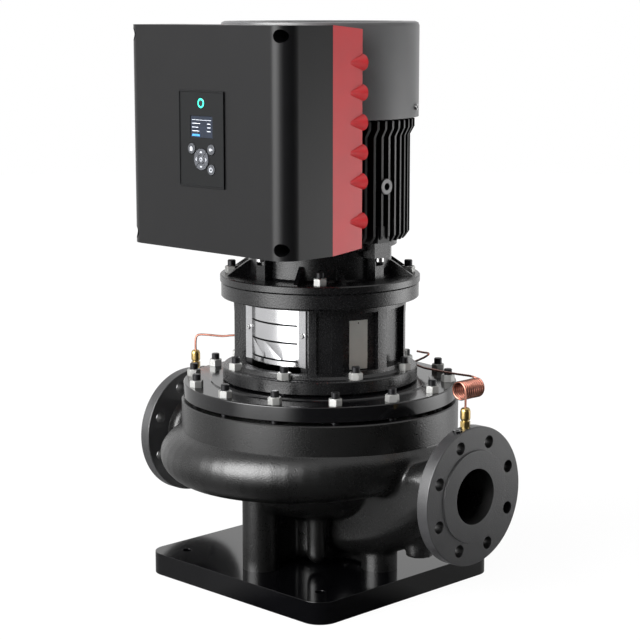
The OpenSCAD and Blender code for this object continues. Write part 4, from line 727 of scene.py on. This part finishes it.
cut(skin, hollow("scroll_core", lambda bm: bridged(bm, scroll_stations(9), 40)))
cut(skin, hollow("suction_core", lambda bm: bridged(bm, suction_stations(41), 40)))
cut(skin, hollow("bored_core", lambda bm: turned(bm, [
    (0, 98), (52, 98), (63, 113), (104, 123), (120, 132), (130, 141), (137, 152), (139, 166),
    (136, 172), (72, 172), (64, 166), (54, 166), (54, FLOOR_Z), (152, FLOOR_Z),
    (152, CHAMBER_TOP), (172, CHAMBER_TOP), (172, 290), (0, 290)])))
for side in (-1, 1):
    cut(skin, hollow("port_core", lambda bm: bridged(bm, [
        (Vector((side * x, 0, PORT_Z)), Vector((side, 0, 0)), PORT_BORE_R)
        for x in (250, 300)], 64)))
for polygon in skin.data.polygons:
    polygon.use_smooth = True
skin.data.materials.clear()
skin.data.materials.append(finishes["cast_black"])
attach(skin, "pump")
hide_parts("volute_casing")
smooth(skin, crease_group(48), even=False)
print("casting skin:", len(skin.data.polygons), "faces,",
      [round(v * 1000) for v in skin.dimensions], "mm")

# %% [markdown]
# ## Machined faces of the casting
# The two port flanges and the belt that takes the head are turned on a lathe. They stay
# crisp: a spun profile, its bolt holes cut through, and a fine broken edge. The flanges get
# the black paint lightened to grey, which is painted light, and the bored faces a darker
# black, which is painted shade. The tapped seats are cut last, after the edges.

# %% Port flanges and belt
TAP_X, TAP_Y, TAP_Z = 299, -11.6, 275.25  # seat of the pipe fitting on the flange's rim
PLUG_Y = -28.5


def ring_cutter(count, pitch_r, radius, low, high, start=0.0):
    """Round holes on a pitch circle, to be cut out of a turned piece."""
    bm = bmesh.new()
    for i in range(count):
        angle = math.radians(start + 360 * i / count)
        upright(bm, radius, pitch_r * math.cos(angle), pitch_r * math.sin(angle), low, high, 40)
    return bm


def port_flange(name, turn):
    bm = bmesh.new()
    turned(bm, [(PORT_BORE_R, 262), (PORT_BORE_R, PORT_FACE), (66.5, PORT_FACE), (66.5, 307.5),
                (99, 307.5), (100, 306.5), (100, 289), (99, 288), (46, 288), (44, 284),
                (44, 262)], 128, closed=True)
    flange = settle(name, bm, "flange_black_painted_light")
    cut(flange, settle("bolt_holes", ring_cutter(8, 80, 9, 280, 312, 22.5), None))
    edge = flange.modifiers.new("edges", "BEVEL")
    edge.width, edge.segments, edge.limit_method = 0.6 * MM, 2, "ANGLE"
    edge.angle_limit, edge.use_clamp_overlap = math.radians(40), False
    bpy.context.view_layer.update()
    applied(flange)
    lay = Matrix.Translation((0, 0, PORT_Z * MM)) @ Matrix.Rotation(math.pi / 2, 4, "Y")
    flange.data.transform(lay)
    taps = bmesh.new()
    upright(taps, 5, TAP_X, TAP_Y, 261, 285, 32)
    upright(taps, 7.2, TAP_X, TAP_Y, TAP_Z, 290, 32)
    upright(taps, 5, TAP_X, PLUG_Y, 257, 281, 32)
    upright(taps, 7, TAP_X, PLUG_Y, 273.2, 290, 32)
    cut(flange, settle("rim_taps", taps, None))
    flange.data.materials.clear()
    # Slot 0 is the lightened black, which is painted light. Slot 1, for the bore and hole faces,
    # is the darker black, which is painted shade.
    for finish in ("flange_black_painted_light", "bore_painted_shade"):
        flange.data.materials.append(finishes[finish])
    for face in flange.data.polygons:
        reach = math.hypot(face.center.y, face.center.z - PORT_Z * MM) / MM
        hole = abs(face.normal.x) < 0.5 and (reach < PORT_BORE_R + 1 or 68 < reach < 92)
        face.material_index = 1 if hole else 0
    flange.data.transform(Matrix.Rotation(turn, 4, "Z"))
    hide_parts("volute_casing")
    smooth(flange)
    return flange


def belt():
    bm = bmesh.new()
    turned(bm, [(174, 229), (206, 229), (BAND_R - 0.8, 230), (BAND_R, 231.5), (BAND_R, 274),
                (207.9, BAND_TOP), (174, BAND_TOP)], 192, closed=True)
    ring = settle("casing_belt", bm, "cast_black")
    cut(ring, settle("stud_holes", ring_cutter(14, 193.6, 6.02, 250, 280, 90), None))
    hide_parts("volute_casing")
    smooth(ring)
    return ring


for piece in (port_flange("suction_flange", 0), port_flange("discharge_flange", math.pi), belt()):
    print(piece.name, len(piece.data.polygons), "faces")

# %% [markdown]
# ## Copper pipes
# A capillary pipe is wound on a mandrel and then laid by hand. Swept meshes need care where
# they bend; a curve with a section along it bends by itself, and a little more turn from
# point to point winds the section like a rope.

# %% Wind the coil and lay the long pipe
TAP = Vector((TAP_X, TAP_Y, TAP_Z))
COIL_R, COIL_PITCH = 12.4, 4.3
COIL = Vector((-COIL_R, 0, 52))
COIL_RUN = [(272.6, 29.3, 341), (236, 46, 336), (187, 71, 329), (140, 97, 322.5),
            (105, 119, 317), (75, 135, 315), (44, 148, 314), (16, 160, 312.5), (3, 169, 311.5),
            (6, 177, 311), (20, 174, 311), (45, 160, 312.5), (83, 139, 326), (95, 132.5, 331),
            (99, 135, 334.5), (92, 142, 335), (75, 151, 332.5), (54, 160, 330.5)]


def eased(points, step):
    """Points about a step apart on a smooth line through guide points."""
    ends = [points[0], *points, points[-1]]
    line = []
    for a, b, c, d in zip(ends, ends[1:], ends[2:], ends[3:]):
        count = max(1, round((c - b).length / step))
        for t in (k / count for k in range(count)):
            line.append((b * 2 + (c - a) * t + (a * 2 - b * 5 + c * 4 - d) * t * t
                         + (b * 3 - a - c * 3 + d) * t ** 3) / 2)
    return line + [points[-1]]


def pipe(name, parts, old):
    """A pipe of one oval section through lists of points, each list with its winding."""
    section = bpy.data.curves.new("section", "CURVE")
    outline = section.splines.new("POLY")
    outline.points.add(15)
    outline.use_cyclic_u = True
    for i, point in enumerate(outline.points):
        angle = math.tau * i / len(outline.points)
        point.co = (1.7 * MM * math.cos(angle), 1.5 * MM * math.sin(angle), 0, 1)
    curve = bpy.data.curves.new(name, "CURVE")
    curve.dimensions = "3D"
    curve.bevel_mode = "OBJECT"
    curve.bevel_object = bpy.data.objects.new("section", section)
    curve.use_fill_caps = True
    line = curve.splines.new("POLY")
    points = [(spot, wind) for spots, wind in parts for spot in spots]
    line.points.add(len(points) - 1)
    tilt = 0.0
    for i, (point, (spot, wind)) in enumerate(zip(line.points, points)):
        tilt += wind * (spot - points[max(0, i - 1)][0]).length
        point.co = (*(spot * MM), 1)
        point.tilt = tilt
    drawn_pipe = bpy.data.objects.new(name, curve)
    bpy.context.scene.collection.objects.link(drawn_pipe)
    bpy.context.view_layer.update()
    graph = bpy.context.evaluated_depsgraph_get()
    mesh = bpy.data.meshes.new_from_object(drawn_pipe.evaluated_get(graph))
    bpy.data.objects.remove(drawn_pipe)
    piece = bpy.data.objects.new(name, mesh)
    bpy.context.scene.collection.objects.link(piece)
    mesh.materials.clear()
    mesh.materials.append(finishes["copper"])
    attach(piece, "pump")
    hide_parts(old)
    smooth(piece)
    return piece


def coil_turns(turns, steps=24):
    for i in range(round(turns * steps) + 1):
        angle = math.tau * i / steps
        yield TAP + COIL + Vector((COIL_R * math.cos(angle), COIL_PITCH * i / steps,
                                   COIL_R * math.sin(angle)))


wound = list(coil_turns(9.25))
laid = eased([wound[-1], *map(Vector, COIL_RUN)], 1.3)[1:]
rise = [TAP + Vector((0, 0, z)) for z in (22, 36)]
long_pipe = pipe("coiled_pipe", [(rise, 0.0), (wound, 0.0), (laid, 0.45)], "suction_sense_pipe")
print(long_pipe.name, len(long_pipe.data.polygons), "faces")

# %% [markdown]
# ## Small light details
# Bare rings shine on the lifting bosses where a mill has faced them, and the control panel
# carries printed signs. Each is a thin raised shape drawn with a few points and extruded.

# %% Flat shapes on the front
def drawn(bm, points, depth, lift):
    """A flat shape of (x, z) points in millimetres on the drive's front, raised a little."""
    y = -(DRIVE_FRONT + lift) * MM
    face = bm.faces.new([bm.verts.new((x * MM, y, z * MM)) for x, z in points])
    grown = bmesh.ops.extrude_face_region(bm, geom=[face])["geom"]
    moved = [v for v in grown if isinstance(v, bmesh.types.BMVert)]
    bmesh.ops.translate(bm, verts=moved, vec=(0, -depth * MM, 0))


def bar(bm, x, z, wide, high, lift, depth=0.12):
    drawn(bm, [(x - wide / 2, z - high / 2), (x + wide / 2, z - high / 2),
               (x + wide / 2, z + high / 2), (x - wide / 2, z + high / 2)], depth, lift)


def chevron(bm, x, z, angle, lift, reach=2.2, width=0.9):
    """An arrow of two strokes that points along an angle."""
    turn = Matrix.Rotation(math.radians(angle), 2)
    shape = [(reach / 2, 0), (-reach / 2, reach), (-reach / 2 - width, reach - width * 0.4),
             (reach / 2 - width * 1.5, 0), (-reach / 2 - width, -reach + width * 0.4),
             (-reach / 2, -reach)]
    points = [turn @ Vector(p) for p in shape]
    drawn(bm, [(x + p.x, z + p.y) for p in points], 0.12, lift)


def sign(name, body, build, finish="print_light"):
    bm = bmesh.new()
    build(bm)
    return settle(name, bm, finish, body)


def home_sign(bm):
    x, z = -20.5, PANEL_Z - 13.7
    drawn(bm, [(x - 3.6, z + 0.2), (x + 3.6, z + 0.2), (x, z + 3.6)], 0.12, 2.7)
    bar(bm, x, z - 1.6, 4.6, 3.2, 2.7)


def back_sign(bm):
    x, z = 20.5, PANEL_Z - 13.7
    drawn(bm, [(x - 3.6, z), (x - 0.6, z - 2.6), (x - 0.6, z + 2.6)], 0.12, 2.7)
    bar(bm, x + 1.4, z, 4.0, 1.2, 2.7)


def power_sign(bm):
    x, z, steps = 20.5, PANEL_Z - 41.4, 14
    bar(bm, x, z + 2.2, 0.9, 3.4, 2.7)
    for i in range(steps):
        a, b = (math.radians(125 + 290 * (i + k) / steps) for k in (0, 1))
        drawn(bm, [(x + r * math.cos(t), z + r * math.sin(t))
                   for r, t in ((2.5, a), (3.4, a), (3.4, b), (2.5, b))], 0.12, 2.7)


def ok_sign(bm):
    steps = 20
    for i in range(steps):
        a, b = (math.tau * (i + k) / steps for k in (0, 1))
        drawn(bm, [(r * math.cos(t), PANEL_Z - 28 + r * math.sin(t))
                   for r, t in ((1.9, a), (2.6, a), (2.6, b), (1.9, b))], 0.12, 2.7)


sign("home_sign", "key_home_cap", home_sign)
sign("back_sign", "key_back_cap", back_sign)
sign("power_sign", "key_power_cap", power_sign)
sign("ok_sign", "key_ok_cap", ok_sign)
for turn, (name, x, z) in {0: ("right", 10.6, 0), 90: ("up", 0, 10.6), 180: ("left", -10.6, 0),
                           270: ("down", 0, -10.6)}.items():
    sign(name + "_sign", f"key_{name}_cap",
         lambda bm: chevron(bm, x, PANEL_Z - 28 + z, turn, 2.7))
print("signs on the keys done")

# %% Rows on the display and a bare ring on each lifting boss
def display_rows(bm):
    z = PANEL_Z + 17
    bar(bm, 0, z + 9.6, 40, 0.5, 0.8)
    for i, wide in enumerate((17, 13, 15)):
        bar(bm, -20 + wide / 2, z + 4.6 - 5.2 * i, wide, 0.9, 0.8)
        bar(bm, 15, z + 4.6 - 5.2 * i, 7, 0.9, 0.8)


def boss_ring(side):
    bm = bmesh.new()
    turned(bm, [(5.3, 135.7), (10.4, 135.7), (10.7, 136), (10.4, 136.25), (5.3, 136.25)],
           64, closed=True)
    lay = Matrix.Translation((0, 0, (FRAME_Z + 82) * MM)) @ Matrix.Rotation(
        side * math.pi / 2, 4, "Y")
    bmesh.ops.transform(bm, matrix=lay, verts=bm.verts)
    ring = settle("boss_face_" + ("left" if side < 0 else "right"), bm, "milled_grey")
    smooth(ring)


sign("display_rows", "pump", display_rows)
sign("display_bar", "pump", lambda bm: bar(bm, -12, PANEL_Z + 5.4, 16, 2.6, 0.8),
     "print_blue")
for side in (-1, 1):
    boss_ring(side)
print("display rows and boss faces done")
